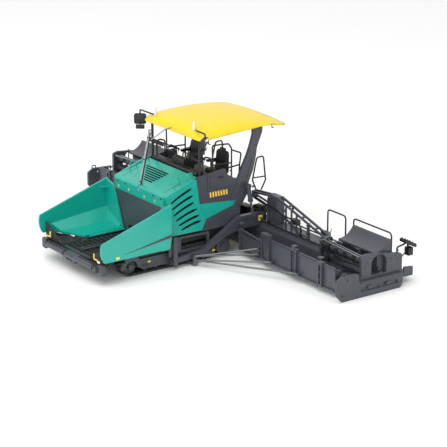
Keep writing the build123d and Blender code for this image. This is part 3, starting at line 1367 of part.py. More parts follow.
UNIT_X = (-60.0, EXTENSION_REAR_X - 0.4)
UNIT_TOP_Z = 18.0
COVER_IN_Y = MAIN_HALF_W + 5.0
STEP_X = (-72.0, -65.6)
with BuildPart() as end_units:
    unit_section = [
        (UNIT_X[0], 0.0, 0.8),
        (UNIT_X[1], 0.0, 0),
        (UNIT_X[1], UNIT_TOP_Z, 0),
        (UNIT_X[0] + 2.0, UNIT_TOP_Z, 1.5),
        (UNIT_X[0], UNIT_TOP_Z - 3.0, 1.5),
    ]
    side_plate(unit_section, MAIN_HALF_W, UNIT_END_Y - MAIN_HALF_W)
    block((TUBE_X - 3.0, TUBE_X + 3.0), (MAIN_HALF_W, MAIN_HALF_W + 1.4), (8.0, 21.0))
    block((UNIT_X[1], TUBE_X - 3.0), (MAIN_HALF_W, MAIN_HALF_W + 1.4), (8.0, UNIT_TOP_Z))
    for tube_z in TUBE_LEVELS:
        y_disc(TUBE_X, tube_z, TUBE_R, (MAIN_HALF_W, FRAME_Y - 1.6))
    # A curved sheet rises over the tubes and ends in a roll at the rear.
    with BuildSketch(Plane.XZ.offset(-COVER_IN_Y)):
        with BuildLine():
            ThreePointArc((-44.6, 21.4), (-49.8, 22.5), (-54.0, 26.2))
            Line((-54.0, 26.2), (-55.0, 25.4))
            ThreePointArc((-55.0, 25.4), (-50.4, 21.4), (-44.6, 20.4))
            Line((-44.6, 20.4), (-44.6, 21.4))
        make_face()
    extrude(amount=-(UNIT_END_Y - COVER_IN_Y))
    y_disc(-55.2, 25.8, 1.3, (COVER_IN_Y, UNIT_END_Y))
    for rib_y in (COVER_IN_Y, (COVER_IN_Y + UNIT_END_Y) / 2, UNIT_END_Y - 0.8):
        rib_outline = [
            (-56.2, UNIT_TOP_Z - 0.2, 0),
            (UNIT_X[1], UNIT_TOP_Z - 0.2, 0),
            (UNIT_X[1], 20.9, 0),
            (-51.2, 21.6, 0),
            (-54.6, 25.4, 0),
            (-56.2, 25.4, 0),
        ]
        side_plate(rib_outline, rib_y, 0.8)
    # The step for the crew at the rear outer corner.
    step_outline = [
        (STEP_X[0], 3.6, 0.6),
        (STEP_X[1], 3.6, 0.6),
        (STEP_X[1], 9.4, 0.6),
        (STEP_X[0], 8.6, 0.6),
    ]
    step_y = (FRAME_Y - 13.6, UNIT_END_Y)
    side_plate(step_outline, step_y[0], step_y[1] - step_y[0])
    block((STEP_X[0], STEP_X[1]), (step_y[0] + 0.8, step_y[1] - 0.8), (4.6, 9.8), Mode.SUBTRACT)
    for strut_y in (step_y[0], UNIT_END_Y - 1.0):
        block((STEP_X[1] - 0.4, UNIT_X[0] + 0.4), (strut_y, strut_y + 1.0), (4.0, 6.0))
    mirror(about=Plane.XZ)

BODY_TOP_Z = 9.6
SLIDE_CLEAR = 2.0         # between the screed's end and the extension at rest
COLLAR_R = TUBE_R + 0.6
COLLAR_IN_Y = FRAME_Y - 21.6
with BuildPart() as extension_left:
    body_section = [
        (EXTENSION_REAR_X, 0.0, 0),
        (-34.0, 0.0, 0.8),
        (-34.0, 3.6, 0.6),
        (-35.6, 5.0, 0.6),
        (-36.2, BODY_TOP_Z, 0),
        (EXTENSION_REAR_X, BODY_TOP_Z, 0),
    ]
    body_in_y = MAIN_HALF_W + SLIDE_CLEAR
    side_plate(body_section, body_in_y, FRAME_Y - body_in_y)
    frame_outline = [
        (-62.0, 0.0, 1.0),
        (-34.0, 0.0, 1.0),
        (-34.0, 21.8, 1.6),
        (-37.6, 22.6, 1.0),
        (-47.0, 21.6, 0),
        (-62.0, 18.8, 2.0),
    ]
    side_plate(frame_outline, FRAME_Y, FRAME_T)
    # The arch in the end frame.
    with BuildSketch(Plane.XZ.offset(-FRAME_Y)):
        with Locations((-46.0, 13.6)):
            Rectangle(10.4, 6.4)
        with Locations((-46.0, 16.0)):
            Circle(5.2)
    extrude(amount=-FRAME_T, mode=Mode.SUBTRACT)
    for tube_z in TUBE_LEVELS:
        y_disc(TUBE_X, tube_z, COLLAR_R, (COLLAR_IN_Y, FRAME_Y))
        y_bore(TUBE_X, tube_z, TUBE_R + TUBE_PLAY, (COLLAR_IN_Y - 8.0, FRAME_Y))

with BuildPart() as extension_right:
    mirror(extension_left.part, about=Plane.XZ)

with BuildPart() as end_plate_left:
    plate_outline = [
        (-16.4, 4.0, 1.2),
        (-16.4, 12.0, 1.0),
        (-20.2, 14.2, 1.0),
        (-31.4, 13.8, 1.6),
        (-31.4, 9.0, 0.6),
        (-61.6, 9.0, 1.0),
        (-61.6, 2.0, 0.6),
        (-59.4, 0.0, 0.6),
        (-20.4, 0.0, 1.5),
    ]
    side_plate(plate_outline, END_PLATE_Y, END_PLATE_T)
    slot_outline = [
        (-33.6, 3.2, 0.9),
        (-58.0, 3.2, 0.9),
        (-58.0, 5.6, 0.9),
        (-33.6, 5.6, 0.9),
    ]
    side_plate(slot_outline, END_PLATE_Y + END_PLATE_T - 0.6, 0.6, Mode.SUBTRACT)
    # A rounded ledge runs along the top, and a hole takes the lifting hook.
    block((-61.0, -32.4), (END_PLATE_Y, END_PLATE_Y + END_PLATE_T + 0.6), (7.9, 8.7))
    y_disc(-23.6, 11.6, 0.7, (END_PLATE_Y, END_PLATE_Y + END_PLATE_T), Mode.SUBTRACT)

with BuildPart() as end_plate_right:
    mirror(end_plate_left.part, about=Plane.XZ)

CONTROL_X = -59.0
with BuildPart() as controls_left:
    stalk_y = FRAME_Y + FRAME_T / 2
    bent_bar(
        [
            (CONTROL_X, stalk_y, 19.5),
            (CONTROL_X, stalk_y, 22.2),
            (CONTROL_X - 5.6, stalk_y, 23.2),
        ],
        1.2,
        0.5,
    )
    panel_outline = [
        (CONTROL_X - 4.0, 24.2, 0.9),
        (CONTROL_X - 3.4, 26.8, 0.9),
        (CONTROL_X - 11.4, 22.6, 0.9),
        (CONTROL_X - 12.0, 20.0, 0.9),
    ]
    side_plate(panel_outline, stalk_y - 2.6, 5.2)

with BuildPart() as controls_right:
    mirror(controls_left.part, about=Plane.XZ)

LOOP_Y = 20.0
LOOP_FOOT_Z = 31.6
RAIL_X = -58.0
RAIL_TOP_Z = 28.6
with BuildPart() as screed_rails:
    bent_bar(
        [
            (RAIL_X, MAIN_HALF_W - 21.0, WALK_Z + WALK_T),
            (RAIL_X, MAIN_HALF_W - 21.0, RAIL_TOP_Z),
            (RAIL_X, MAIN_HALF_W - 5.4, RAIL_TOP_Z),
            (RAIL_X, MAIN_HALF_W - 5.4, WALK_Z + WALK_T),
        ],
        2.0,
        RAIL_R,
    )
    bent_bar(
        [
            (RAIL_X, MAIN_HALF_W + 1.4, UNIT_TOP_Z),
            (RAIL_X, MAIN_HALF_W + 1.4, RAIL_TOP_Z + 0.6),
            (RAIL_X, UNIT_END_Y - 2.0, RAIL_TOP_Z + 0.6),
            (RAIL_X, UNIT_END_Y - 2.0, UNIT_TOP_Z),
        ],
        2.0,
        RAIL_R,
    )
    # A tall loop by the inner end of each truss helps the crew up from the screed.
    bent_bar(
        [
            (TRUSS_X + 0.8, LOOP_Y, LOOP_FOOT_Z),
            (-37.8, LOOP_Y, 38.4),
            (-40.8, LOOP_Y, 51.0),
            (-45.4, LOOP_Y, 51.4),
            (-47.0, LOOP_Y, 37.0),
            (TRUSS_X - 2.4, LOOP_Y, LOOP_FOOT_Z),
        ],
        1.6,
        RAIL_R,
    )
    bar((-38.2, LOOP_Y, 39.6), (-46.7, LOOP_Y, 39.2), RAIL_R * 0.9)
    mirror(about=Plane.XZ)

# ---------------------------------------------------------------- lift cylinders
lift_run = Vector(LIFT_EYE[0] - LIFT_PIN[0], 0, LIFT_EYE[1] - LIFT_PIN[1])
lift_dir = lift_run.normalized()


def lift_point(distance):
    """The point of the left cylinder's axis at a distance below its pin."""
    at = lift_dir * distance
    return (LIFT_PIN[0] + at.X, ARM_Y, LIFT_PIN[1] + at.Z)


with BuildPart() as lift_barrel_left:
    bar(lift_point(LIFT_BOSS_R - 0.3), lift_point(BARREL_L), BARREL_R)
    bar(lift_point(BARREL_L - 1.2), lift_point(BARREL_L), BARREL_R + 0.25)
    y_disc(LIFT_PIN[0], LIFT_PIN[1], LIFT_BOSS_R, (ARM_Y - 1.2, ARM_Y + 1.2))
    bar(
        lift_point(LIFT_BOSS_R + 0.4),
        lift_point(BARREL_L + 1.0),
        LIFT_ROD_R + LIFT_ROD_PLAY,
        Mode.SUBTRACT,
    )
    y_disc(LIFT_PIN[0], LIFT_PIN[1], LIFT_PIN_R, (HOUSING_HALF_W + 0.2, ARM_Y))

with BuildPart() as lift_barrel_right:
    mirror(lift_barrel_left.part, about=Plane.XZ)

with BuildPart() as lift_rod_left:
    bar(lift_point(lift_run.length - LIFT_ROD_L), lift_point(lift_run.length), LIFT_ROD_R)

with BuildPart() as lift_rod_right:
    mirror(lift_rod_left.part, about=Plane.XZ)

# ---------------------------------------------------------------- export
PIECES = {
    "chassis_frame": chassis_frame,
    "engine_housing": engine_housing,
    "hopper_rear_wall": hopper_rear_wall,
    "hopper_floor": hopper_floor,
    "conveyor": conveyor,
    "hopper_apron": hopper_apron,
    "track_left": track_left,
    "track_right": track_right,
    "track_frame_left": track_frame_left,
    "track_frame_right": track_frame_right,
    "hopper_wing_left": hopper_wing_left,
    "hopper_wing_right": hopper_wing_right,
    "push_beam": push_beam,
    "push_roller_left": push_roller_left,
    "push_roller_right": push_roller_right,
    "hood": hood,
    "side_covers": side_covers,
    "rear_strips": rear_strips,
    "lower_panels": lower_panels,
    "platform_floor": platform_floor,
    "platform_sides": platform_sides,
    "rear_posts": rear_posts,
    "front_posts": front_posts,
    "roof": roof,
    "control_console": control_console,
    "seat_left": seat_left,
    "seat_right": seat_right,
    "platform_rails": platform_rails,
    "mirrors": mirrors,
    "work_lamps": work_lamps,
    "exhaust_pipe": exhaust_pipe,
    "rear_ladder": rear_ladder,
    "levelling_cylinders": levelling_cylinders,
    "auger_carrier": auger_carrier,
    "auger_left": auger_left,
    "auger_right": auger_right,
    "tunnel_plates": tunnel_plates,
    "tie_rods": tie_rods,
    "tow_arms": tow_arms,
    "screed_main": screed_main,
    "screed_walkway": screed_walkway,
    "screed_trusses": screed_trusses,
    "end_units": end_units,
    "screed_rails": screed_rails,
    "extension_left": extension_left,
    "extension_right": extension_right,
    "end_plate_left": end_plate_left,
    "end_plate_right": end_plate_right,
    "controls_left": controls_left,
    "controls_right": controls_right,
    "lift_barrel_left": lift_barrel_left,
    "lift_barrel_right": lift_barrel_right,
    "lift_rod_left": lift_rod_left,
    "lift_rod_right": lift_rod_right,
}
for label, piece in PIECES.items():
    piece.part.label = label
    export_step(piece.part, f"parts/{label}.step")
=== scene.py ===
import json
import math

import bmesh
import bpy
from bpy.props import FloatProperty, FloatVectorProperty, PointerProperty
from mathutils import Matrix, Vector


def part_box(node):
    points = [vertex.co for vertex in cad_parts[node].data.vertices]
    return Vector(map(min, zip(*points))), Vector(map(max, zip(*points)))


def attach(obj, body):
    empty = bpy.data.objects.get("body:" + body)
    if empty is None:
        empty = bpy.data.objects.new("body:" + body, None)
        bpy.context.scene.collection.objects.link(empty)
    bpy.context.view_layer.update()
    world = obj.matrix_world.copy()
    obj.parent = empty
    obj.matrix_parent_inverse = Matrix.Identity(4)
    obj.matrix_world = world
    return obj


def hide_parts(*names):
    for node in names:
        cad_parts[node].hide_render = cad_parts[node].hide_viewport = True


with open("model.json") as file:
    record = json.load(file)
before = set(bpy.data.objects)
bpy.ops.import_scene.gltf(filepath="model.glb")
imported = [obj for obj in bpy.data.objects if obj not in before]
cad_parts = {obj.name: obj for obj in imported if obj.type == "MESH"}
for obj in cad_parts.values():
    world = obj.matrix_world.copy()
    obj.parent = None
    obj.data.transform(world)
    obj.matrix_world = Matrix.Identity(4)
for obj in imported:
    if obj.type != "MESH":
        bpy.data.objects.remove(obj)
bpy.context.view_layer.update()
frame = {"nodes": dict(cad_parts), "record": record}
MM = 0.001                # lengths below are in millimetres and are multiplied by this

bl_info = {
    "name": "Tracked asphalt paver model",
    "version": (1, 1, 0),
    "blender": (4, 5, 0),
    "location": "3D View > Sidebar > Paver",
    "description": "Paints and details a scale model of a tracked asphalt paver",
    "category": "Object",
}


# ---------------------------------------------------------------- settings
def paint(name, text, default):
    """A colour that a user may change."""
    return FloatVectorProperty(
        name=name, description=text, subtype="COLOR", size=3, min=0.0, max=1.0, default=default
    )


class PaverPaint(bpy.types.PropertyGroup):
    """Colours of the model's finishes."""

    teal: paint("Body paint", "Gloss paint of the hopper, hood and covers", (0.002, 0.37, 0.288))
    anthracite: paint("Frame paint", "Satin paint of the frame and screed", (0.051, 0.056, 0.069))
    black: paint("Plastic", "Rails, console and other moulded pieces", (0.010, 0.010, 0.012))
    yellow: paint("Roof", "Moulded roof over the platform", (0.85, 0.60, 0.005))
    metal: paint("Bright metal", "Exhaust, rods and tie rods", (0.24, 0.245, 0.26))
    rubber: paint("Rubber", "Tracks and hopper flaps", (0.018, 0.018, 0.019))
    lens: paint("Lamp lens", "Clear lenses of the lamps", (0.8, 0.82, 0.8))
    vinyl: paint("Seats", "Moulded plastic of the two seats", (0.013, 0.013, 0.015))
    orange: paint("Signal orange", "Orange edge of each warning bar", (0.95, 0.22, 0.01))
    tag: paint("Signal yellow", "Warning bars, brackets, reflectors and tags", (0.93, 0.68, 0.09))


class PaverStudio(bpy.types.PropertyGroup):
    """Sizes of the stage that the model stands on."""

    floor_size: FloatProperty(
        name="Floor", description="Side of the pale floor", default=6.0, min=1.0, unit="LENGTH"
    )
    sky: FloatProperty(name="Sky", description="Strength of the white room", default=0.86, min=0.0)
    key_power: FloatProperty(
        name="Key light", description="Power of the large soft light", default=7.0, unit="POWER"
    )
    fill_power: FloatProperty(
        name="Fill light", description="Power of the light from the front", default=2.6, unit="POWER"
    )


# ---------------------------------------------------------------- materials
ROUNDING = 0.22 * MM      # how far a rounded edge's light reaches


class Finish:
    """A material under construction: its nodes, and short ways to add and join them."""

    def __init__(self, name):
        self.material = bpy.data.materials.new(name)
        self.material.use_nodes = True
        self.tree = self.material.node_tree
        self.shader = self.tree.nodes["Principled BSDF"]
        self.place = self.add("ShaderNodeTexCoord").outputs["Object"]

    def add(self, kind, **settings):
        node = self.tree.nodes.new(kind)
        for key, value in settings.items():
            setattr(node, key, value)
        return node

    def join(self, output, node, socket):
        self.tree.links.new(output, node.inputs[socket])

    def set(self, **values):
        for key, value in values.items():
            self.shader.inputs[key.replace("_", " ")].default_value = value

    def noise(self, size, detail=3.0):
        """Grain of about size metres."""
        node = self.add("ShaderNodeTexNoise")
        node.inputs["Scale"].default_value = 1.0 / size
        node.inputs["Detail"].default_value = detail
        self.join(self.place, node, "Vector")
        return node.outputs["Fac"]

    def ramp(self, factor, low, high, start=0.0, end=1.0):
        """Blends two colours or greys along factor."""
        node = self.add("ShaderNodeValToRGB")
        node.color_ramp.elements[0].position = start
        node.color_ramp.elements[1].position = end
        node.color_ramp.elements[0].color = (*low, 1.0)
        node.color_ramp.elements[1].color = (*high, 1.0)
        self.join(factor, node, "Fac")
        return node.outputs["Color"]

    def colour(self, output):
        self.join(output, self.shader, "Base Color")

    def roughness(self, factor, low, high):
        self.join(self.ramp(factor, (low,) * 3, (high,) * 3, 0.3, 0.7), self.shader, "Roughness")

    def bump(self, factor, height, strength):
        """Fine relief, over edges that catch the light as slightly rounded ones do."""
        rounded = self.add("ShaderNodeBevel", samples=4)
        rounded.inputs["Radius"].default_value = ROUNDING
        node = self.add("ShaderNodeBump")
        node.inputs["Distance"].default_value = height
        node.inputs["Strength"].default_value = strength
        self.join(factor, node, "Height")
        self.join(rounded.outputs["Normal"], node, "Normal")
        self.join(node.outputs["Normal"], self.shader, "Normal")


PLATING = 1.6             # how much brighter plated metal is than bare metal


def shade(colour, factor):
    """The colour made lighter or darker."""
    return tuple(min(1.0, part * factor) for part in colour)


def sprayed_paint(name, colour, rough, coat, unevenness=0.05):
    """Sprayed paint on die-cast metal: a faint orange peel and a little unevenness."""
    finish = Finish(name)
    cloud = finish.noise(14 * MM, 2.0)
    low, high = shade(colour, 1.0 - unevenness), shade(colour, 1.0 + unevenness)
    finish.colour(finish.ramp(cloud, low, high, 0.3, 0.7))
    finish.roughness(finish.noise(3 * MM, 4.0), rough - unevenness, rough + unevenness)
    finish.bump(finish.noise(0.5 * MM, 2.0), 0.02 * MM, 0.25)
    finish.set(Coat_Weight=coat, Coat_Roughness=0.12)
    return finish.material


def moulded_plastic(name, colour, rough, grain=0.35 * MM):
    """Injection-moulded plastic with a fine grain."""
    finish = Finish(name)
    finish.colour(finish.ramp(finish.noise(9 * MM), shade(colour, 0.9), shade(colour, 1.12), 0.3, 0.7))
    finish.roughness(finish.noise(2 * MM, 5.0), rough - 0.06, rough + 0.08)
    finish.bump(finish.noise(grain, 3.0), 0.03 * MM, 0.4)
    return finish.material


def bright_metal(name, colour):
    """Plated metal with soft marks, brighter than plain steel."""
    finish = Finish(name)
    colour = shade(colour, PLATING)
    finish.colour(finish.ramp(finish.noise(4 * MM, 5.0), shade(colour, 0.8), shade(colour, 1.1), 0.3, 0.7))
    finish.roughness(finish.noise(1.2 * MM, 4.0), 0.18, 0.32)
    finish.set(Metallic=1.0)
    return finish.material


def drawn_steel(name, colour):
    """Dull drawn steel, even along its length."""
    finish = Finish(name)
    finish.set(Base_Color=(*colour, 1.0), Metallic=0.7, Roughness=0.36)
    return finish.material


def track_rubber(name, colour):
    """Dark rubbery track plates, a little paler where they are worn."""
    finish = Finish(name)
    finish.colour(finish.ramp(finish.noise(3 * MM, 6.0), colour, shade(colour, 2.2), 0.45, 0.8))
    finish.roughness(finish.noise(1.5 * MM, 4.0), 0.55, 0.75)
    finish.bump(finish.noise(0.4 * MM, 4.0), 0.05 * MM, 0.5)
    return finish.material


def clear_lens(name, colour):
    """A pale moulded lens with fine ribs."""
    finish = Finish(name)
    ribs = finish.add("ShaderNodeTexWave", wave_type="BANDS", bands_direction="Z")
    ribs.inputs["Scale"].default_value = 320.0
    finish.join(finish.place, ribs, "Vector")
    # Painted shade in the ribs' hollows: the colour is darker where the ribs are low.
    finish.colour(finish.ramp(ribs.outputs["Fac"], shade(colour, 0.8), colour))
    finish.bump(ribs.outputs["Fac"], 0.05 * MM, 0.3)
    finish.set(Roughness=0.12, Coat_Weight=0.6)
    return finish.material


def chequer_plate(name, colour):
    """Painted tread plate: crossed raised bars on the flat."""
    finish = Finish(name)
    bars = []
    for turn in (45.0, -45.0):
        wave = finish.add("ShaderNodeTexWave", wave_type="BANDS", bands_direction="X", wave_profile="SIN")
        wave.inputs["Scale"].default_value = 260.0
        spun = finish.add("ShaderNodeMapping")
        spun.inputs["Rotation"].default_value[2] = math.radians(turn)
        finish.join(finish.place, spun, "Vector")
        finish.join(spun.outputs["Vector"], wave, "Vector")
        bars.append(wave.outputs["Fac"])
    both = finish.add("ShaderNodeMath", operation="MULTIPLY")
    finish.join(bars[0], both, 0)
    finish.join(bars[1], both, 1)
    # Painted highlight on the raised bars and painted shade between them: the colour follows the bars'
    # height.
    finish.colour(finish.ramp(both.outputs[0], shade(colour, 0.75), shade(colour, 1.5), 0.2, 0.7))
    finish.bump(both.outputs[0], 0.12 * MM, 0.7)
    finish.set(Roughness=0.5)
    return finish.material


def dark_gap(name):
    """Painted shade: a near-black colour for the unlit depth behind a slot or a groove."""
    finish = Finish(name)
    finish.set(Base_Color=(0.002, 0.002, 0.0025, 1.0), Roughness=0.9, Specular_IOR_Level=0.1)
    return finish.material


def mirror_glass(name):
    """Silvered glass."""
    finish = Finish(name)
    finish.set(Base_Color=(0.75, 0.77, 0.8, 1.0), Metallic=1.0, Roughness=0.04)
    return finish.material


FINISHES = {}


def make_finishes(colours):
    """Every finish. The first eight are named by the record's material slots."""
    FINISHES.update(
        teal_paint=sprayed_paint("teal_paint", colours.teal, 0.34, 0.5),
        anthracite_paint=sprayed_paint("anthracite_paint", colours.anthracite, 0.42, 0.2),
        black_plastic=moulded_plastic("black_plastic", colours.black, 0.4),
        yellow_roof=sprayed_paint("yellow_roof", colours.yellow, 0.36, 0.2, 0.02),
        bright_metal=bright_metal("bright_metal", colours.metal),
        track_rubber=track_rubber("track_rubber", colours.rubber),
        lamp_lens=clear_lens("lamp_lens", colours.lens),
        seat_vinyl=moulded_plastic("seat_vinyl", colours.vinyl, 0.46, 0.25 * MM),
        signal_orange=sprayed_paint("signal_orange", colours.orange, 0.35, 0.3),
        signal_yellow=sprayed_paint("signal_yellow", colours.tag, 0.35, 0.3),
        # painted shade for the depth of slots and grooves
        dark_gap=dark_gap("dark_gap"),
        signal_cream=sprayed_paint("signal_cream", shade(colours.tag, 1.06), 0.4, 0.1),
        rod_steel=drawn_steel("rod_steel", shade(colours.metal, 0.7)),
        tread_plate=chequer_plate("tread_plate", colours.anthracite),
        mirror_glass=mirror_glass("mirror_glass"),
    )


# ---------------------------------------------------------------- shapes
FORWARD, REARWARD = (1.0, 0.0, 0.0), (-1.0, 0.0, 0.0)
LEFTWARD, UPWARD = (0.0, 1.0, 0.0), (0.0, 0.0, 1.0)
UPRIGHT = Matrix.Identity(3)
CREASE = math.radians(40.0)      # edges that turn more than this stay sharp


def rounded_route(points, bend, steps=5):
    """Points along a path whose corners are rounded with a bend of the given reach."""
    route = [points[0]]
    for before, corner, after in zip(points, points[1:], points[2:]):
        reach = min(bend, (before - corner).length * 0.45, (after - corner).length * 0.45)
        start = corner + (before - corner).normalized() * reach
        end = corner + (after - corner).normalized() * reach
        for step in range(steps + 1):
            share = step / steps
            route.append(start.lerp(corner, share).lerp(corner.lerp(end, share), share))
    route.append(points[-1])
    return route


def facing(way):
    """The turn that points a shape's own Z along way."""
    return Vector(way).to_track_quat("Z", "Y").to_matrix()


def pitched(degrees):
    """The turn that tips a shape's top forwards."""
    return Matrix.Rotation(math.radians(degrees), 3, "Y")


def at_x(x, outline):
    """Points given in Y and Z, all at one X."""
    return [(x, y, z) for y, z in outline]


def at_y(y, outline):
    """Points given in X and Z, all at one Y."""
    return [(x, y, z) for x, z in outline]


class Shape:
    """A mesh under construction in millimetres, put together from bmesh's simple shapes."""

    def __init__(self):
        self.mesh = bmesh.new()

    def settle(self, verts, turn, place):
        """Turns new vertices and moves them to their place."""
        matrix = Matrix.Translation(place) @ turn.to_4x4()
        bmesh.ops.transform(self.mesh, matrix=matrix, verts=verts)

    def soften(self, verts, width, rims_only=False):
        """Rounds the edges among the given vertices, or only those round a cap."""
        chosen = set(verts)
        edges = []
        for edge in self.mesh.edges:
            if edge.verts[0] in chosen and edge.verts[1] in chosen:
                if not rims_only or any(len(face.verts) > 4 for face in edge.link_faces):
                    edges.append(edge)
        bmesh.ops.bevel(
            self.mesh, geom=edges, offset=width, offset_type="OFFSET", segments=2,
            profile=0.5, affect="EDGES", material=-1, clamp_overlap=True,
        )

    def brick(self, centre, size, edge=0.0, turn=UPRIGHT):
        """A block about a centre, its edges rounded."""
        verts = bmesh.ops.create_cube(self.mesh, size=1.0)["verts"]
        bmesh.ops.scale(self.mesh, vec=size, verts=verts)
        self.settle(verts, turn, centre)
        if edge:
            self.soften(verts, edge)

    def rod(self, start, end, radius, sides=14, edge=0.0):
        """A round rod between two points."""
        run = Vector(end) - Vector(start)
        verts = bmesh.ops.create_cone(
            self.mesh, cap_ends=True, segments=sides, radius1=radius, radius2=radius, depth=run.length
        )["verts"]
        self.settle(verts, facing(run), (Vector(start) + Vector(end)) / 2)
        if edge:
            self.soften(verts, edge, rims_only=True)

    def ball(self, centre, radius):
        """A round knob."""
        verts = bmesh.ops.create_uvsphere(self.mesh, u_segments=16, v_segments=10, radius=radius)["verts"]
        self.settle(verts, UPRIGHT, centre)

    def bolt(self, place, way, across=1.0, height=0.4):
        """A hexagon head on a round washer, standing on a surface that faces along way."""
        way = Vector(way).normalized()
        place = Vector(place)
        washer = bmesh.ops.create_cone(
            self.mesh, cap_ends=True, segments=10, radius1=across * 0.66, radius2=across * 0.62,
            depth=height * 0.4,
        )["verts"]
        self.settle(washer, facing(way), place + way * height * 0.1)
        head = bmesh.ops.create_cone(
            self.mesh, cap_ends=True, segments=6, radius1=across / 2, radius2=across * 0.44, depth=height
        )["verts"]
        self.settle(head, facing(way), place + way * height / 2)

    def bolts(self, places, way, across=1.0, height=0.4):
        """The same bolt at each of several places."""
        for place in places:
            self.bolt(place, way, across, height)

    def tube(self, points, radius, bend=1.2, sides=10):
        """A bent pipe: a ring drawn along straight runs and rounded corners."""
        route = rounded_route([Vector(point) for point in points], bend)
        way = (route[1] - route[0]).normalized()
        ring = bmesh.ops.create_circle(self.mesh, cap_ends=True, segments=sides, radius=radius)["verts"]
        self.settle(ring, facing(way), route[0])
        face = ring[0].link_faces[0]
        for index in range(1, len(route)):
            after = route[min(index + 1, len(route) - 1)]
            ahead = (after - route[index - 1]).normalized()
            grown = bmesh.ops.extrude_face_region(self.mesh, geom=[face])["geom"]
            face = next(item for item in grown if isinstance(item, bmesh.types.BMFace))
            swing = way.rotation_difference(ahead).to_matrix().to_4x4()
            matrix = Matrix.Translation(route[index]) @ swing @ Matrix.Translation(-route[index - 1])
            bmesh.ops.transform(self.mesh, matrix=matrix, verts=face.verts)
            way = ahead

    def plate(self, corners, thickness, way, edge=0.0):
        """A flat plate cut to an outline, growing along way by its thickness."""
        face = self.mesh.faces.new([self.mesh.verts.new(corner) for corner in corners])
        ground = list(face.verts)
        grown = bmesh.ops.extrude_face_region(self.mesh, geom=[face], use_keep_orig=True)["geom"]
        verts = [item for item in grown if isinstance(item, bmesh.types.BMVert)]
        bmesh.ops.translate(self.mesh, vec=Vector(way).normalized() * thickness, verts=verts)
        if edge:
            self.soften(ground + verts, edge)

    def hoop(self, centre, way, radius, thickness):
        """A round hoop about a centre, facing along way."""
        ring = bmesh.ops.create_circle(self.mesh, cap_ends=False, segments=8, radius=thickness)["verts"]
        across = Matrix.Translation((radius, 0, 0)) @ Matrix.Rotation(math.pi / 2, 4, "X")
        bmesh.ops.transform(self.mesh, matrix=across, verts=ring)
        edges = list(dict.fromkeys(edge for vert in ring for edge in vert.link_edges))
        before = set(self.mesh.verts) - set(ring)
        bmesh.ops.spin(
            self.mesh, geom=ring + edges, cent=(0, 0, 0), axis=(0, 0, 1),
            angle=2 * math.pi, steps=32, use_merge=True,
        )
        self.settle([vert for vert in self.mesh.verts if vert not in before], facing(way), centre)

    def finish(self, name, material, body="tractor", closed=True):
        """Closes the mesh, scales it to metres and makes its object, which rides a body."""
        if closed:
            rims = [edge for edge in self.mesh.edges if edge.is_boundary]
            bmesh.ops.holes_fill(self.mesh, edges=rims, sides=0)
        bmesh.ops.scale(self.mesh, vec=(MM, MM, MM), verts=self.mesh.verts)
        bmesh.ops.recalc_face_normals(self.mesh, faces=self.mesh.faces)
        for face in self.mesh.faces:
            face.smooth = True
        for edge in self.mesh.edges:
            if len(edge.link_faces) == 2 and edge.calc_face_angle() > CREASE:
                edge.smooth = False
        data = bpy.data.meshes.new(name)
        self.mesh.to_mesh(data)
        self.mesh.free()
        piece = bpy.data.objects.new(name, data)
        data.materials.append(FINISHES[material])
        bpy.context.scene.collection.objects.link(piece)
        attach(piece, body)
        return piece

    def finish_pair(self, name, material, body="tractor"):
        """Adds the mirror image across the middle plane, and finishes both as one piece."""
        geom = self.mesh.verts[:] + self.mesh.edges[:] + self.mesh.faces[:]
        bmesh.ops.mirror(self.mesh, geom=geom, matrix=Matrix.Identity(4), merge_dist=0.0, axis="Y")
        return self.finish(name, material, body)


SPANS = {}


def span(node):
    """A node's box in millimetres: its low and high corner."""
    if node not in SPANS:
        low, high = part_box(node)
        SPANS[node] = (Vector(low) / MM, Vector(high) / MM)
    return SPANS[node]


# ---------------------------------------------------------------- hopper and front
# Outlines and places below are in X and Z where they lie on a side, and in Y and Z where
# they face forwards.
LEFT_AND_RIGHT = (("left", 1.0), ("right", -1.0))
WING_FLASH = ((56.0, 16.5), (44.0, 18.0), (25.9, 20.2), (25.9, 22.0))
TAG_T = 0.3
REFLECTOR_X = 69.2
FLAP_X = 66.4
FLAP_OUTLINE = ((14.6, 12.4), (26.2, 17.9), (31.2, 20.6), (31.2, 12.0), (29.6, 11.4), (14.6, 11.4))
SHEET_REAR_X, SHEET_FRONT_X = 54.3, 66.3
SHEET_IN_Y, SHEET_OUT_Y = 15.2, 31.3
SHEET_Z = 10.9


def dress_wing(side, sign):
    """The dark flash and the tie-down tag on the side of one hopper wing."""
    body = f"wing_{side}"
    face_y = span("hopper_wing_left")[1].y * sign
    flash = Shape()
    flash.plate(at_y(face_y, WING_FLASH), 0.1, (0.0, sign, 0.0))
    flash.finish(f"wing_flash_{side}", "anthracite_paint", body)
    tag = Shape()
    tag.brick((60.4, face_y + 0.1 * sign, 15.3), (2.2, TAG_T, 1.3), 0.1)
    tag.finish(f"wing_tag_{side}", "signal_yellow", body)


def dress_front():
    """Angled reflectors and side lamps above the push beam's ends, and the beam's bolts."""
    reflectors = Shape()
    reflectors.brick((REFLECTOR_X, 22.8, 15.4), (0.5, 0.7, 3.4), 0.12)
    reflectors.brick((REFLECTOR_X, 24.4, 14.0), (0.5, 3.4, 0.7), 0.12)
    reflectors.finish_pair("front_reflectors", "signal_yellow")
    lamps = Shape()
    lamps.brick((REFLECTOR_X + 0.1, 27.4, 13.4), (0.8, 2.2, 1.3), 0.25)
    lamps.finish_pair("front_lamps", "lamp_lens")
    low, high = span("push_beam")
    inset = 1.4
    bolts = Shape()
    for y in (2.4, 24.6, 26.4):
        for z in (low.z + inset, high.z - inset):
            bolts.bolt((high.x - 0.1, y, z), FORWARD, 0.9)
    bolts.finish_pair("beam_bolts", "anthracite_paint")


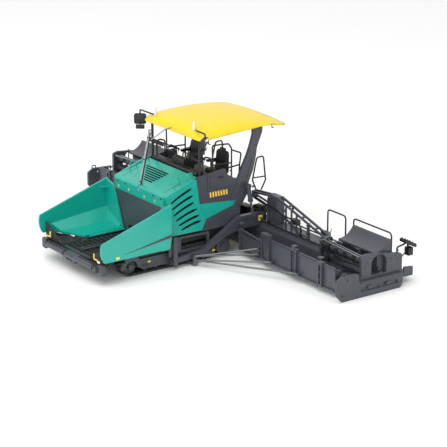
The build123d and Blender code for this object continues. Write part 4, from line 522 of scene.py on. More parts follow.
def hang_flaps():
    """Rubber sheets that close the front of the hopper under the wings' sloping feet."""
    flaps = Shape()
    flaps.plate(at_x(FLAP_X, FLAP_OUTLINE), 0.7, FORWARD, 0.1)
    # A flat sheet lies under the open corner between each wing's floor and the apron.
    sheet = (
        (SHEET_REAR_X, SHEET_IN_Y, SHEET_Z),
        (SHEET_FRONT_X, SHEET_IN_Y, SHEET_Z),
        (SHEET_FRONT_X, SHEET_OUT_Y, SHEET_Z),
        (SHEET_REAR_X, SHEET_OUT_Y, SHEET_Z),
    )
    flaps.plate(sheet, 0.4, UPWARD)
    # A lip stands on the sheet and narrows the gap below the slanting edge of the wing's floor.
    lip_z = SHEET_Z + 0.2
    lip = ((53.9, 16.0, lip_z), (62.4, 31.0, lip_z), (62.4, 31.0, 13.4), (53.9, 16.0, 11.9))
    flaps.plate(lip, 0.4, (-0.87, 0.49, 0.0))
    flaps.finish_pair("hopper_flaps", "track_rubber")


def dress_conveyor():
    """The two chains that pull the conveyor's slats."""
    low, high = span("conveyor")
    pitch, chain_y, narrow, wide = 1.5, 1.2, 0.8, 1.2
    chains = Shape()
    for index in range(int((high.x - low.x) / pitch)):
        x = low.x + (index + 0.5) * pitch
        chains.brick((x, chain_y, high.z - 0.1), (1.1, narrow if index % 2 else wide, 0.5), 0.12)
    chains.finish_pair("conveyor_chains", "anthracite_paint")


# ---------------------------------------------------------------- hood
HOOD_FRONT, HOOD_REAR = (24.2, 41.4), (2.0, 48.2)     # ends of its sloping top, in X and Z
HOOD_FACE_X = 25.25
# Front and rear end of each cooling slot in the side covers, in X and Z
COVER_SLOTS = (
    ((21.2, 37.0), (8.4, 42.8)),
    ((20.5, 33.4), (7.6, 38.7)),
    ((19.3, 29.7), (6.9, 34.7)),
    ((17.8, 26.5), (4.8, 30.7)),
    ((15.9, 23.4), (3.4, 26.8)),
    ((14.3, 20.6), (2.2, 23.4)),
)
EXHAUST_FOOT, EXHAUST_HEAD = Vector((24.6, -1.0, 38.6)), Vector((17.0, -1.0, 72.2))


def hood_slope(x):
    """Height of the hood's sloping top."""
    (front_x, front_z), (rear_x, rear_z) = HOOD_FRONT, HOOD_REAR
    return front_z + (front_x - x) / (front_x - rear_x) * (rear_z - front_z)


def dress_hood():
    """Lifting handles on the hood, and the yellow brackets along its front."""
    edge_y, run, lean = 21.8, 4.4, 3.6
    handles = Shape()
    for x, rise in ((17.0, 4.4), (8.6, 3.4)):
        foot, end = hood_slope(x), hood_slope(x - run)
        bow = ((x, foot), (x, foot + rise), (x - lean, end + rise), (x - run, end))
        handles.tube(at_y(edge_y, bow), 0.34, 1.8)
    handles.finish_pair("hood_handles", "teal_paint")
    middle_z, reach = 36.4, 0.5
    brackets = Shape()
    for y in (-20.4, -10.2, 5.4, 15.6):
        brackets.brick((HOOD_FACE_X, y, middle_z + reach), (0.4, 1.0, 0.25), 0.06)
        brackets.brick((HOOD_FACE_X, y, middle_z - reach), (0.4, 1.0, 0.25), 0.06)
        brackets.brick((HOOD_FACE_X, y - 0.4, middle_z), (0.4, 0.25, 1.2), 0.06)
    brackets.finish("hood_brackets", "signal_yellow")


def paint_groove_shade():
    """Painted shade in the hood's cooling grooves: dark sheets on the grooves' floors, which get longer
    towards the top.
    """
    (front_x, front_z), (rear_x, rear_z) = HOOD_FRONT, HOOD_REAR
    slope = math.atan2(rear_z - front_z, front_x - rear_x)
    level, rise = math.cos(slope), math.sin(slope)
    count, first_up, run = 7, 5.6, 10.6
    floors = Shape()
    for index in range(count):
        share = index / (count - 1)
        up = first_up + share * run
        right, left = -4.9 - share * 12.4, 3.8 + share * 0.9
        place = (front_x - level * up, (left + right) / 2, front_z + rise * up - 0.04)
        floors.brick(place, (0.95, left - right - 0.2, 0.16), 0.0, Matrix.Rotation(slope, 3, "Y"))
    floors.finish("groove_painted_shade", "dark_gap")


def slot_outline(front, rear, face_y, width=1.5, steps=10):
    """The rim of one bowed slot, tapered towards its front end."""
    sag, hump, taper = 0.25, 0.6, 0.28
    upper, lower = [], []
    for step in range(steps + 1):
        share = step / steps
        bow = 4 * share * (1 - share)
        x = front[0] + (rear[0] - front[0]) * share - sag * bow
        z = front[1] + (rear[1] - front[1]) * share + hump * bow
        roundness = math.sqrt(max(0.02, 1 - (2 * share - 1) ** 6))
        reach = width / 2 * roundness * (1 - taper + taper * share)
        upper.append((x, face_y, z + reach))
        lower.append((x, face_y, z - reach))
    return upper + lower[::-1]


def dress_covers():
    """Painted shade in the side covers' slots, as thin dark plates on the covers' faces, and the latches of
    the hood's front.
    """
    face_y = span("side_covers")[1].y
    slots = Shape()
    for front, rear in COVER_SLOTS:
        slots.plate(slot_outline(front, rear, face_y), 0.06, LEFTWARD)
    slots.finish_pair("cover_slot_painted_shade", "dark_gap")
    x, z = HOOD_FACE_X - 0.3, 39.2
    latches = Shape()
    for y in (14.0, 21.6):
        latches.rod((x, y, z), (x + 0.5, y, z), 0.55, edge=0.12)
    latches.finish_pair("hood_latches", "black_plastic")


def dress_exhaust():
    """The plated exhaust pipe, the black guard behind it, its clamps and the stay to the roof."""
    foot, head = EXHAUST_FOOT, EXHAUST_HEAD
    way = (head - foot).normalized()
    behind = Vector((-way.z, 0.0, way.x)) * 0.8
    pipe = Shape()
    pipe.rod(foot - way * 0.4, head - way * 0.2, 0.62, sides=20, edge=0.1)
    pipe.rod(foot - way * 0.4, foot + way * 0.8, 1.1, sides=20, edge=0.15)
    pipe.rod(head - way * 0.9, head - way * 0.1, 0.74, sides=20, edge=0.1)
    pipe = pipe.finish("chromed_exhaust", "bright_metal")
    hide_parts("exhaust_pipe")
    guard = Shape()
    guard.tube([foot + way * 1.5 + behind, head - way * 2.0 + behind], 0.45, sides=12)
    for share in (0.14, 0.5, 0.86):
        place = foot.lerp(head, share)
        guard.rod(place - way * 0.25, place + way * 0.25, 0.82, sides=20, edge=0.1)
    guard.finish("exhaust_guard", "black_plastic")
    stay = Shape()
    stay.tube([(15.9, -1.0, 66.0), (7.4, -0.6, 70.4), (3.0, 0.0, 71.2)], 0.32, 1.0)
    stay.finish("exhaust_stay", "bright_metal")


# ---------------------------------------------------------------- platform
BARS = 7
BARS_Y = 25.1
BARS_RUN = 12.8
BAR_FOOT, BAR_HEAD = (-4.9, 35.3), (-4.5, 38.3)       # front ends of the first bar, in X and Z
# Each part of a bar, with its start and end as shares of the bars' spacing
BAR_PARTS = (("signal_orange", 0.0, 0.12), ("signal_cream", 0.12, 0.6))
PLATFORM_BOLTS = ((1.8, 36.4), (1.8, 46.0), (-5.8, 48.6), (-18.6, 48.6), (-20.6, 36.4), (-12.2, 33.0))
STATION_Y = 12.6          # middle of each seat and desk


def paint_warning_bars():
    """Warning bars in the sunk fields of the platform's sides."""
    (foot_x, foot_z), (head_x, head_z) = BAR_FOOT, BAR_HEAD
    for name, start, end in BAR_PARTS:
        bars = Shape()
        for index in range(BARS):
            near, far = (BARS_RUN * (index + share) / BARS for share in (start, end))
            bar = (
                (foot_x - near, foot_z), (foot_x - far, foot_z),
                (head_x - far, head_z), (head_x - near, head_z),
            )
            bars.plate(at_y(BARS_Y, bar), 0.12, LEFTWARD)
        bars.finish_pair(f"warning_bars_{name}", name)


def dress_platform():
    """Grips on the platform's side doors, and the bolts of its sides."""
    front_x, rear_x, in_y, out_y, z = -10.4, -13.6, 25.6, 26.5, 46.2
    grips = Shape()
    grips.tube([(front_x, in_y, z), (front_x, out_y, z), (rear_x, out_y, z), (rear_x, in_y, z)], 0.22, 0.4)
    grips.finish_pair("door_grips", "black_plastic")
    bolts = Shape()
    bolts.bolts(at_y(25.35, PLATFORM_BOLTS), LEFTWARD, 0.8, 0.3)
    bolts.finish_pair("platform_bolts", "anthracite_paint")


def dress_console():
    """The steering wheel, its column, levers and the instrument panel on each desk."""
    hub = Vector((-7.6, STATION_Y, 55.2))
    way = Vector((-0.55, 0.0, 0.83)).normalized()
    wheel = Shape()
    wheel.hoop(hub, way, 2.9, 0.36)
    wheel.rod(hub - way * 0.5, hub + way * 0.35, 0.7, edge=0.12)
    wheel.rod(hub - way * 2.8, hub - way * 0.3, 0.42)
    for angle in (90, 210, 330):
        spoke = Matrix.Rotation(math.radians(angle), 3, way) @ Vector(LEFTWARD)
        wheel.rod(hub, hub + spoke * 2.8, 0.24, sides=8)
    wheel.finish_pair("steering_wheels", "black_plastic")
    desk_z, lever_z = 52.6, 54.6
    levers = Shape()
    for x, y in ((-6.2, 7.8), (-6.2, 17.4), (-4.6, 17.4), (-4.6, 7.8)):
        levers.rod((x, y, desk_z), (x - 0.5, y, lever_z), 0.16, sides=8)
        levers.ball((x - 0.55, y, lever_z + 0.3), 0.42)
    levers.finish_pair("console_levers", "black_plastic")
    panel = Shape()
    panel.brick((-4.4, STATION_Y, 53.6), (0.4, 6.2, 2.2), 0.15, pitched(35))
    panel.finish_pair("instrument_panels", "anthracite_paint")


def dress_seats():
    """Raised bolsters, seams and headrests of the moulded seats."""
    bolster = ((-14.4, 45.4), (-19.6, 45.3), (-21.2, 47.2), (-22.4, 55.4))
    trim = Shape()
    for y in (STATION_Y - 3.6, STATION_Y + 3.6):
        trim.tube(at_y(y, bolster), 0.55, 1.6)
    trim.brick((-22.7, STATION_Y, 57.0), (1.3, 5.0, 2.6), 0.6, pitched(-9))
    for z in (48.6, 51.0, 53.2):
        x = -21.6 - (z - 48.0) * 0.15
        trim.rod((x, STATION_Y - 3.0, z), (x, STATION_Y + 3.0, z), 0.16, sides=8)
    trim.finish_pair("seat_trim", "seat_vinyl")


# ---------------------------------------------------------------- roof
ROOF_T = 1.1
ROOF_STEP = -46.5         # the dome ends here and a thin flat tail begins
ROOF_NOSE_R = 5.0         # corners of the roof's front
ROOF_RIM_Z = 69.3         # lower edge at the front
ROOF_RIM_RISE = 0.058     # how much that edge rises for each millimetre to the rear
DOME_LIFT = 1.6           # how much the dome falls towards its front and rear
DOME_BOW = 2.6            # how much it falls towards its sides
BOW_POWER = 2.2           # how late the fall to the sides begins
TAIL_RISE = 0.9           # how far the tail stands above the lower edge
TAIL_FALL = 0.12          # how much it falls for each millimetre to the rear
TAIL_BOW = 1.3            # how much it falls towards its sides


def roof_rim(x):
    """Height of the roof's lower edge."""
    return ROOF_RIM_Z + (span("roof")[1].x - x) * ROOF_RIM_RISE


def roof_half_width(x):
    """Half the roof's width, which shrinks at its rounded front corners."""
    high = span("roof")[1]
    ahead = x - (high.x - ROOF_NOSE_R)
    if ahead <= 0:
        return high.y
    return high.y - ROOF_NOSE_R * 0.7 * (1 - math.sqrt(max(0.0, 1 - (ahead / ROOF_NOSE_R) ** 2)))


def roof_height(x, across):
    """Height of the moulded dome, where across runs from -1 to 1."""
    high = span("roof")[1]
    fall = abs(across) ** BOW_POWER
    if x < ROOF_STEP:
        return roof_rim(ROOF_STEP) + TAIL_RISE - TAIL_FALL * (ROOF_STEP - x) - TAIL_BOW * fall
    along = (x - ROOF_STEP) / (high.x - ROOF_STEP)
    crown = high.z - 0.1 - DOME_LIFT * (2 * along - 1.05) ** 2
    side = max(0.0, 1 - abs(across) ** 11) ** 0.45
    front = math.sqrt(max(0.0, 1 - along ** 22))
    return roof_rim(x) + (crown - DOME_BOW * fall - roof_rim(x)) * side * front


def mould_roof():
    """The domed roof shell with its rolled edges and thin tail, made from one grid."""
    low, high = span("roof")
    rows, columns, tail_rows = 44, 48, 4
    crowding = 2.2        # how much closer the rows stand towards the front edge
    shell = Shape()
    sheet = bmesh.ops.create_grid(shell.mesh, x_segments=rows, y_segments=columns, size=1.0)["verts"]
    for vert in sheet:
        row = round((vert.co.x + 1) / 2 * rows)
        across = math.sin(vert.co.y * math.pi / 2)
        if row < tail_rows:
            x = low.x + (ROOF_STEP - 0.02 - low.x) * row / (tail_rows - 1)
        else:
            share = (row - tail_rows) / (rows - tail_rows)
            x = ROOF_STEP + (high.x - ROOF_STEP) * (1 - (1 - share) ** crowding)
        vert.co = (x, across * roof_half_width(x), roof_height(x, across))
    roof = shell.finish("moulded_roof", "yellow_roof", closed=False)
    wall = roof.modifiers.new("wall", "SOLIDIFY")
    wall.thickness = ROOF_T * MM
    wall.offset = -1.0
    wall.use_even_offset = False
    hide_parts("roof")


def dress_roof():
    """The black frame under the roof, and its corner hooks."""
    front_x = -0.6
    bars = Shape()
    bars.tube([(front_x, -22.4, 69.4), (front_x, 22.4, 69.4)], 0.55)
    bars.tube([(-20.4, -21.0, 70.6), (-20.4, 21.0, 70.6)], 0.5)
    for y in (-12.0, 12.0):
        bars.tube([(front_x, y, 69.5), (-34.0, y, 71.4)], 0.4)
    bars.finish("roof_frame", "black_plastic")
    hooks = Shape()
    for x, z in ((-2.0, 68.3), (-45.0, 71.0)):
        hooks.tube(at_y(28.2, ((x, z + 1.0), (x, z - 1.2), (x - 1.2, z - 1.6))), 0.28, 0.5)
    hooks.finish_pair("roof_hooks", "black_plastic")


def dress_mirrors():
    """Deep housings and glass for the mirrors, with a smaller mirror below each."""
    turn = math.radians(50.0)
    backs, glass = Shape(), Shape()
    for sign in (1.0, -1.0):
        back = Vector((math.cos(turn), -math.sin(turn) * sign, 0.0))
        centre = Vector((3.0, 32.0 * sign, 69.2))
        glass.brick(centre - back * 0.85, (6.0, 5.0, 0.15), 0.0, facing(back))
        backs.brick(centre + back * 0.9, (6.6, 5.4, 2.0), 0.6, facing(back))
        lower = centre - Vector((0.0, 0.0, 4.6))
        backs.brick(lower + back * 0.4, (5.0, 2.4, 1.6), 0.4, facing(back))
        backs.rod(lower, centre - Vector((0.0, 0.0, 2.6)), 0.35)
        glass.brick(lower - back * 0.45, (4.4, 1.9, 0.15), 0.0, facing(back))
    backs.finish("mirror_backs", "black_plastic")
    glass.finish("mirror_glasses", "mirror_glass")


# ---------------------------------------------------------------- chassis
HUB_BOLTS = 8
HUBS = ((-13.6, 5.3, 3.2), (47.4, 5.3, 2.6))          # axle in X and Z, and the bolts' circle
SKIRT_TAGS = ((35.6, 25.05, 6.4), (-6.6, 26.15, 4.8))
POST_BOLTS = ((-21.4, 29.6), (-24.6, 31.4), (-33.7, 50.8), (-34.0, 36.8), (-36.2, 60.4), (-38.4, 69.6))
# Each pin of a tow arm, in X and Z, and how wide its head is
ARM_PINS = ((20.6, 5.6, 2.0), (-32.6, 20.4, 1.5), (-37.2, 6.0, 1.4), (-37.2, 12.2, 1.4))
TUNNEL_POSTS = (32.6, 56.0, 81.0, 104.0)
TIE_ROD_FOOT_X, TIE_ROD_FOOT_Y, TIE_ROD_END_X = 9.2, 31.3, -20.2
# Height of each tie rod's foot, and the place of its end in Y and Z
TIE_RODS = ((5.7, 50.8, 9.8), (5.7, 50.8, 6.6), (3.5, 62.4, 5.1), (3.5, 85.6, 5.1))


def dress_tracks():
    """Hub bolts of the drive and idler wheels, and the tie-down tags on the skirts."""
    face_y = span("track_frame_left")[1].y - 1.15
    hubs = Shape()
    for x, z, reach in HUBS:
        for step in range(HUB_BOLTS):
            turn = step * 2 * math.pi / HUB_BOLTS
            place = (x + reach * math.cos(turn), face_y, z + reach * math.sin(turn))
            hubs.bolt(place, LEFTWARD, 0.7, 0.3)
    hubs.finish_pair("hub_bolts", "anthracite_paint")
    tags = Shape()
    for place in SKIRT_TAGS:
        tags.brick(place, (1.9, TAG_T, 1.1), 0.1)
    tags.finish_pair("skirt_tags", "signal_yellow")


def dress_rear():
    """Louvres, hinges and door handles at the rear of the housing."""
    rear_x = span("engine_housing")[0].x
    count, first_z, pitch = 5, 21.6, 1.5
    louvres = Shape()
    for y in (-14.5, 14.5):
        for index in range(count):
            place = (rear_x + 0.1, y, first_z + index * pitch)
            louvres.brick(place, (0.5, 9.0, 0.9), 0.1, pitched(30))
    louvres.finish("rear_louvres", "black_plastic")
    reach = 0.9
    fittings = Shape()
    for y in (6.8, 22.2):
        for z in (19.4, 30.4):
            fittings.rod((rear_x - 0.1, y, z - reach), (rear_x - 0.1, y, z + reach), 0.45, edge=0.1)
    foot_x, grip_x, low_z, high_z = rear_x + 0.2, rear_x - 0.8, 26.0, 28.4
    grip = ((foot_x, low_z), (grip_x, low_z), (grip_x, high_z), (foot_x, high_z))
    fittings.tube(at_y(10.4, grip), 0.22, 0.4)
    fittings.finish_pair("rear_fittings", "black_plastic")


def dress_posts():
    """Bolts that hold the rear posts."""
    bolts = Shape()
    bolts.bolts(at_y(25.75, POST_BOLTS), LEFTWARD, 1.1, 0.4)
    bolts.finish_pair("post_bolts", "anthracite_paint")


def dress_arms():
    """The yellow plates at the rear of the tow arms, and the arms' pins."""
    face_y = span("tow_arms")[1].y
    plates = Shape()
    plates.brick((-36.6, face_y + 0.1, 18.8), (2.6, TAG_T, 3.2), 0.15)
    plates.finish_pair("arm_plates", "signal_yellow", "screed")
    pins = Shape()
    for x, z, across in ARM_PINS:
        pins.bolt((x, face_y - 0.05, z), LEFTWARD, across, 0.5)
    pins.finish_pair("arm_pins", "anthracite_paint", "screed")


def dress_tunnel():
    """Caps and bolts on the posts of the auger tunnel."""
    high = span("tunnel_plates")[1]
    caps = Shape()
    for y in TUNNEL_POSTS:
        caps.brick((-20.9, y, high.z - 0.1), (2.9, 3.0, 0.7), 0.15)
        caps.bolts([(high.x - 0.1, y, z) for z in (7.6, 11.6, 15.6)], FORWARD, 0.9, 0.35)
    caps.finish_pair("tunnel_caps", "anthracite_paint")


def dress_tie_rods():
    """A hexagon nut near each end of the eight bright tie rods."""
    nuts = Shape()
    for foot_z, end_y, end_z in TIE_RODS:
        start = Vector((TIE_ROD_FOOT_X, TIE_ROD_FOOT_Y, foot_z))
        end = Vector((TIE_ROD_END_X, end_y, end_z))
        way = (end - start).normalized()
        for share in (0.12, 0.88):
            place = start.lerp(end, share)
            nuts.rod(place - way * 0.6, place + way * 0.6, 0.72, sides=6)
    nuts.finish_pair("tie_rod_nuts", "rod_steel")


# ---------------------------------------------------------------- screed
SCREED_TOP = 16.6
SUPPLY_PIPE = ((21.2, 28.5), (47.7, 24.3), (60.6, 23.8), (63.6, 20.6), (62.3, 16.8))
TRUSS_JOINTS = ((34.0, 31.4), (47.8, 27.4), (57.4, 23.4), (68.4, 19.6))


def on_screed(*points):
    """Points whose heights are given from the screed's top."""
    return [(x, y, SCREED_TOP + z) for x, y, z in points]


def lay_pipes():
    """Long pipes on the screed, one beside each tower, and short bent ones between them."""
    in_y, out_y = 4.0, 83.0
    pipes = Shape()
    for x, z in ((-37.0, 0.7), (-48.6, 0.6)):
        pipes.tube(on_screed((x, in_y, z), (x, out_y, z)), 0.42)
    front_x = span("screed_trusses")[1].x + 0.6
    pipes.tube(at_x(front_x, SUPPLY_PIPE), 0.5, 2.4)
    for y in (24.0, 36.0, 66.0):
        bow = on_screed((-38.0, y, 0.4), (-36.0, y, 2.6), (-36.0, y + 6.0, 2.8), (-37.6, y + 8.0, 0.4))
        pipes.tube(bow, 0.4, 1.8)
    pipes.finish_pair("screed_pipes", "black_plastic", "screed")


def dress_screed():
    """Junction boxes on the heated screed, and the bolts of its panels."""
    boxes = Shape()
    for y in (16.0, 45.0, 72.0):
        middle, gland, tip = on_screed((-49.4, y, 1.6), (-49.4, y + 2.6, 1.4), (-49.4, y + 3.8, 1.4))
        boxes.brick(middle, (3.4, 5.2, 3.0), 0.3)
        boxes.rod(gland, tip, 0.6, edge=0.1)
    boxes.finish_pair("junction_boxes", "black_plastic", "screed")
    low, high = span("screed_main")
    gap = 1.1
    bolts = Shape()
    for seam_y in (32.0, 54.0):
        for y in (seam_y - gap, seam_y + gap):
            for z in (5.0, 9.0, 13.0):
                bolts.bolt((high.x - 0.05, y, z), FORWARD, 0.75, 0.3)
                bolts.bolt((low.x + 0.05, y, z), REARWARD, 0.75, 0.3)
    bolts.finish_pair("screed_bolts", "anthracite_paint", "screed")


def dress_hydraulics():
    """Valve blocks with their bent pipes, plugs and motor, beside the tow arms."""
    blocks = Shape()
    blocks.brick((-39.6, 24.6, 20.6), (4.6, 7.0, 8.0), 0.4)
    blocks.brick((-38.6, 13.0, 19.4), (5.0, 9.0, 5.4), 0.5)
    for y in (22.4, 24.6, 26.8):
        blocks.tube(at_y(y, ((-37.4, 23.0), (-35.4, 23.0), (-35.0, 17.2))), 0.4, 1.2)
        blocks.bolt((-37.35, y, 19.0), FORWARD, 1.2, 0.6)
    blocks.rod((-38.6, 8.4, 20.2), (-38.6, 6.2, 20.2), 1.9, edge=0.3)
    blocks.finish_pair("screed_manifolds", "black_plastic", "screed")


def dress_spindles():
    """Bright height spindles, each with a nut and a crank."""
    x, crank_x = -46.4, -48.4
    spindles = Shape()
    for y in (26.0, 60.0, 78.0):
        spindles.rod(*on_screed((x, y, 0.0), (x, y, 5.0)), 0.55, edge=0.1)
        spindles.rod(*on_screed((x, y, 3.4), (x, y, 4.2)), 0.9, sides=6)
        spindles.tube(on_screed((x, y, 4.8), (crank_x, y, 5.2), (crank_x, y, 6.6)), 0.22, 0.5)
    spindles.finish_pair("height_spindles", "bright_metal", "screed")


def dress_walkway():
    """Raised tread strips across the walkway."""
    low, high = span("screed_walkway")
    count, first_y, pitch, margin = 26, 1.8, 3.1, 0.8
    treads = Shape()
    for index in range(count):
        place = ((low.x + high.x) / 2, first_y + index * pitch, high.z)
        treads.brick(place, (high.x - low.x - 2 * margin, 0.5, 0.3), 0.08)
    treads.finish_pair("walkway_treads", "anthracite_paint", "screed")


def dress_trusses():
    """Round bosses on both faces where the truss's bars meet."""
    bosses = Shape()
    for y, z in TRUSS_JOINTS:
        bosses.rod((-39.6, y, z), (-39.1, y, z), 0.9, edge=0.15)
        bosses.rod((-45.1, y, z), (-45.5, y, z), 0.9, edge=0.15)
    bosses.finish_pair("truss_bosses", "anthracite_paint", "screed")


# ---------------------------------------------------------------- end units and extensions
# Middle of each clamp in Y and Z, and how tall it is
CLAMPS = ((89.8, 18.6, 3.4), (97.4, 18.6, 2.8), (104.4, 18.6, 2.8), (89.8, 12.4, 3.0), (112.0, 18.6, 2.4))
HYDRAULIC_PIPES = (
    ((-36.4, 89.0, 10.4), (-35.8, 94.0, 8.4), (-35.8, 104.0, 9.0), (-36.4, 112.0, 11.4)),
    ((-36.4, 89.0, 14.8), (-35.6, 96.0, 14.0), (-35.6, 108.0, 15.6), (-36.6, 116.0, 14.8)),
)
END_PLATE_BOLTS = ((-20.4, 3.4), (-34.0, 3.4), (-46.0, 3.4), (-58.0, 3.4), (-34.0, 11.6), (-46.0, 11.6))
FRAME_BOLTS = ((-38.4, 17.4), (-53.6, 17.4), (-58.8, 16.0), (-36.2, 15.6), (-46.0, 21.6), (-58.8, 20.8))
END_PLATE_LATCHES = ((-38.6, 5.0), (-51.2, 4.6))
END_PLATE_HANDLE = ((-20.0, 13.6), (-20.0, 15.6), (-22.6, 15.6), (-22.6, 14.0))
BOX_Y = 120.4


def dress_guides():
    """Collars round the ends of the guide tubes, and two thin bright rods above them."""
    rods = Shape()
    for z in (18.4, 12.6):
        for y in (88.5, 117.2):
            rods.rod((-38.5, y, z), (-38.5, y + 1.3, z), 1.5, sides=20, edge=0.2)
    rods.rod((-37.0, 85.9, 21.2), (-34.9, 118.6, 20.8), 0.4)
    rods.rod((-39.2, 86.4, 21.0), (-37.4, 118.6, 20.6), 0.34)
    rods.finish_pair("guide_collars", "bright_metal", "screed")


def dress_end_units():
    """Clamps, pipes, a cylinder and hand levers on each end unit."""
    clamp_x, face_x = -37.4, -36.0
    clamps = Shape()
    for y, z, size in CLAMPS:
        clamps.brick((clamp_x, y, z), (2.8, 2.2, size), 0.3)
        clamps.bolts([(face_x, y, z + size * 0.25), (face_x, y, z - size * 0.25)], FORWARD, 0.9)
    for route in HYDRAULIC_PIPES:
        clamps.tube(route, 0.42, 3.0)
    clamps.rod((-36.8, 95.0, 15.4), (-36.8, 111.0, 15.4), 1.0, edge=0.2)
    clamps.finish_pair("unit_clamps", "black_plastic", "screed")
    levers = Shape()
    levers.tube(at_y(86.6, ((-35.4, 9.0), (-35.4, 20.4), (-39.4, 21.8))), 0.35, 1.2)
    levers.tube(at_y(113.6, ((-36.4, 17.0), (-38.8, 22.6))), 0.45)
    levers.ball((-38.9, 113.6, 22.8), 0.75)
    levers.finish_pair("end_levers", "black_plastic", "screed")


def dress_extension(side, sign):
    """Bolts and fittings of one end plate, its control box and the knobs on the panel."""
    body = f"extension_{side}_body"
    out = (0.0, sign, 0.0)
    plate_y = span("end_plate_left")[1].y
    frame_y = span("extension_left")[1].y - 0.05
    bolts = Shape()
    bolts.bolts(at_y(sign * (plate_y - 0.05), END_PLATE_BOLTS), out, 1.0, 0.35)
    bolts.bolts(at_y(sign * frame_y, FRAME_BOLTS), out, 1.0, 0.35)
    bolts.finish(f"end_plate_bolts_{side}", "anthracite_paint", body)
    fittings = Shape()
    for x, z in END_PLATE_LATCHES:
        fittings.brick((x, sign * (plate_y - 0.3), z), (2.6, 0.9, 1.8), 0.25)
        fittings.rod(*at_y(sign * (plate_y - 0.2), ((x - 0.8, z + 0.6), (x + 1.8, z + 0.6))), 0.35, edge=0.08)
    fittings.rod(*at_y(sign * (frame_y - 0.9), ((-45.6, 14.2), (-45.6, 21.0))), 0.4)
    fittings.tube(at_y(sign * (plate_y - 0.7), END_PLATE_HANDLE), 0.35, 0.6)
    fittings.finish(f"end_plate_fittings_{side}", "anthracite_paint", body)
    box = Shape()
    box.brick((-67.4, sign * BOX_Y, 18.6), (3.4, 3.8, 4.6), 0.5)
    box.rod(*at_y(sign * BOX_Y, ((-66.6, 20.6), (-66.6, 23.6))), 0.6)
    pipe = ((-66.0, 118.6, 17.0), (-63.0, 118.6, 14.6), (-61.6, 118.8, 13.4))
    box.tube([(x, sign * y, z) for x, y, z in pipe], 0.35, 1.2)
    box.finish(f"control_box_{side}", "black_plastic", body)
    knobs = Shape()
    for share in (0.2, 0.42, 0.64, 0.84):
        x, z = -62.5 - 8.0 * share, 26.5 - 4.2 * share
        for y in (118.8, 121.2):
            knobs.rod((x, sign * y, z), (x + 0.2, sign * y, z + 0.6), 0.36, edge=0.06)
    knobs.finish(f"control_knobs_{side}", "black_plastic", body)


# ---------------------------------------------------------------- operators
class PAVER_OT_paint(bpy.types.Operator):
    """Gives every piece of the frame its finish."""

    bl_idname = "paver.paint"
    bl_label = "Paint the model"

    def execute(self, context):
        make_finishes(context.scene.paver_paint)
        for row in frame["record"]["subparts"]:
            piece = frame["nodes"][row["node"]]
            piece.data.materials.clear()
            piece.data.materials.append(FINISHES[row["material_slot"]])
        frame["nodes"]["screed_walkway"].data.materials[0] = FINISHES["tread_plate"]
        frame["nodes"]["tie_rods"].data.materials[0] = FINISHES["rod_steel"]
        return {"FINISHED"}


class PAVER_OT_hopper(bpy.types.Operator):
    """Adds the flashes, tags, reflectors and chains round the hopper."""

    bl_idname = "paver.hopper"
    bl_label = "Dress the hopper"

    def execute(self, context):
        for side, sign in LEFT_AND_RIGHT:
            dress_wing(side, sign)
        dress_front()
        hang_flaps()
        dress_conveyor()
        return {"FINISHED"}


class PAVER_OT_hood(bpy.types.Operator):
    """Adds the handles, brackets and latches of the hood, painted shade in its grooves and slots, and
    replaces the exhaust.
    """

    bl_idname = "paver.hood"
    bl_label = "Dress the hood"

    def execute(self, context):
        dress_hood()
        paint_groove_shade()
        dress_covers()
        dress_exhaust()
        return {"FINISHED"}


class PAVER_OT_platform(bpy.types.Operator):
    """Adds the warning bars, steering wheels, levers and seat trim."""

    bl_idname = "paver.platform"
    bl_label = "Dress the platform"

    def execute(self, context):
        paint_warning_bars()
        dress_platform()
        dress_console()
        dress_seats()
        return {"FINISHED"}


class PAVER_OT_roof(bpy.types.Operator):
    """Moulds the domed roof, and adds the frame under it, the hooks and the mirrors."""

    bl_idname = "paver.roof"
    bl_label = "Dress the roof"

    def execute(self, context):
        mould_roof()
        dress_roof()
        dress_mirrors()
        return {"FINISHED"}


class PAVER_OT_chassis(bpy.types.Operator):
    """Adds the hub bolts, tags, rear louvres, posts' bolts, arms' plates and tie rods' nuts."""

    bl_idname = "paver.chassis"
    bl_label = "Dress the chassis"

    def execute(self, context):
        dress_tracks()
        dress_rear()
        dress_posts()
        dress_arms()
        dress_tunnel()
        dress_tie_rods()
        return {"FINISHED"}


class PAVER_OT_screed(bpy.types.Operator):
    """Adds the pipes, boxes, bolts and treads of the screed, and dresses its end units."""

    bl_idname = "paver.screed"
    bl_label = "Dress the screed"

    def execute(self, context):
        lay_pipes()
        dress_screed()
        dress_hydraulics()
        dress_spindles()
        dress_walkway()
        dress_trusses()
        dress_guides()
        dress_end_units()
        for side, sign in LEFT_AND_RIGHT:
            dress_extension(side, sign)
        return {"FINISHED"}


class PAVER_OT_studio(bpy.types.Operator):
    """Lays the pale floor, sets the soft lights and places the camera."""

    bl_idname = "paver.studio"
    bl_label = "Set the studio"

    def execute(self, context):
        scene = context.scene
        studio = scene.paver_studio
        lay_floor(scene, studio.floor_size)
        light_room(scene, studio)
        place_camera(scene)
        scene.view_settings.view_transform = "Standard"
        return {"FINISHED"}


def lay_floor(scene, size):
    """The pale floor, which belongs to the stage and not to the model."""
    grid = bmesh.new()
    bmesh.ops.create_grid(grid, x_segments=1, y_segments=1, size=size / 2)
    mesh = bpy.data.meshes.new("studio_floor")
    grid.to_mesh(mesh)
    grid.free()
    floor = bpy.data.objects.new("studio_floor", mesh)
    finish = Finish("studio_floor")
    finish.set(Base_Color=(0.93, 0.93, 0.93, 1.0), Roughness=0.9)
    mesh.materials.append(finish.material)
    scene.collection.objects.link(floor)


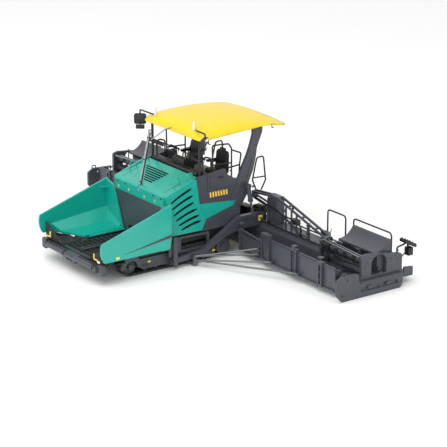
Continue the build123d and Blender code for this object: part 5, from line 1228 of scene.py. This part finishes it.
def light_room(scene, studio):
    """A white room with a large light from above and a softer one from the front."""
    world = bpy.data.worlds.new("white_room")
    world.use_nodes = True
    world.node_tree.nodes["Background"].inputs["Color"].default_value = (1.0, 1.0, 1.0, 1.0)
    world.node_tree.nodes["Background"].inputs["Strength"].default_value = studio.sky
    scene.world = world
    # name, power, size, where it stands, and where it points
    lamps = (
        ("key_light", studio.key_power, 0.9, (0.5, 0.2, 1.0), (0.0, 0.0, 0.02)),
        ("fill_light", studio.fill_power, 0.8, (0.9, 0.9, 0.35), (0.0, 0.0, 0.03)),
    )
    for name, power, size, place, target in lamps:
        data = bpy.data.lights.new(name, "AREA")
        data.energy = power
        data.size = size
        lamp = bpy.data.objects.new(name, data)
        lamp.location = place
        aim = Vector(target) - Vector(place)
        lamp.rotation_mode = "QUATERNION"
        lamp.rotation_quaternion = aim.to_track_quat("-Z", "Y")
        scene.collection.objects.link(lamp)


CAMERA_PLACE = Vector((0.57116, 0.84145, 0.34884))
CAMERA_BEARING = math.radians(54.36)      # from +X towards +Y
CAMERA_HEIGHT = math.radians(18.2)        # above the horizon
CAMERA_LENS = 153.02
CAMERA_SENSOR = 36.0


def place_camera(scene):
    """The view from the front left, a little above the model."""
    data = bpy.data.cameras.new("camera")
    data.sensor_width = CAMERA_SENSOR
    data.lens = CAMERA_LENS
    data.clip_start = 0.05
    data.clip_end = 20.0
    camera = bpy.data.objects.new("camera", data)
    level = math.cos(CAMERA_HEIGHT)
    look = -Vector(
        (math.cos(CAMERA_BEARING) * level, math.sin(CAMERA_BEARING) * level, math.sin(CAMERA_HEIGHT))
    )
    camera.location = CAMERA_PLACE
    camera.rotation_mode = "QUATERNION"
    camera.rotation_quaternion = look.to_track_quat("-Z", "Y")
    scene.collection.objects.link(camera)
    scene.camera = camera


OPERATORS = (
    PAVER_OT_studio,
    PAVER_OT_paint,
    PAVER_OT_hopper,
    PAVER_OT_hood,
    PAVER_OT_platform,
    PAVER_OT_roof,
    PAVER_OT_chassis,
    PAVER_OT_screed,
)


class PAVER_PT_panel(bpy.types.Panel):
    """Lists the steps that dress the model."""

    bl_idname = "PAVER_PT_panel"
    bl_label = "Paver"
    bl_space_type = "VIEW_3D"
    bl_region_type = "UI"
    bl_category = "Paver"

    def draw(self, context):
        for operator in OPERATORS:
            self.layout.operator(operator.bl_idname)
        for group in (context.scene.paver_paint, context.scene.paver_studio):
            for key in group.__annotations__:
                self.layout.prop(group, key)


CLASSES = (PaverPaint, PaverStudio, *OPERATORS, PAVER_PT_panel)


def register():
    for cls in CLASSES:
        bpy.utils.register_class(cls)
    bpy.types.Scene.paver_paint = PointerProperty(type=PaverPaint)
    bpy.types.Scene.paver_studio = PointerProperty(type=PaverStudio)


def unregister():
    del bpy.types.Scene.paver_studio
    del bpy.types.Scene.paver_paint
    for cls in reversed(CLASSES):
        bpy.utils.unregister_class(cls)


def main():
    register()
    for operator in OPERATORS:
        getattr(bpy.ops.paver, operator.bl_idname.split(".")[1])()


if __name__ == "__main__":
    main()
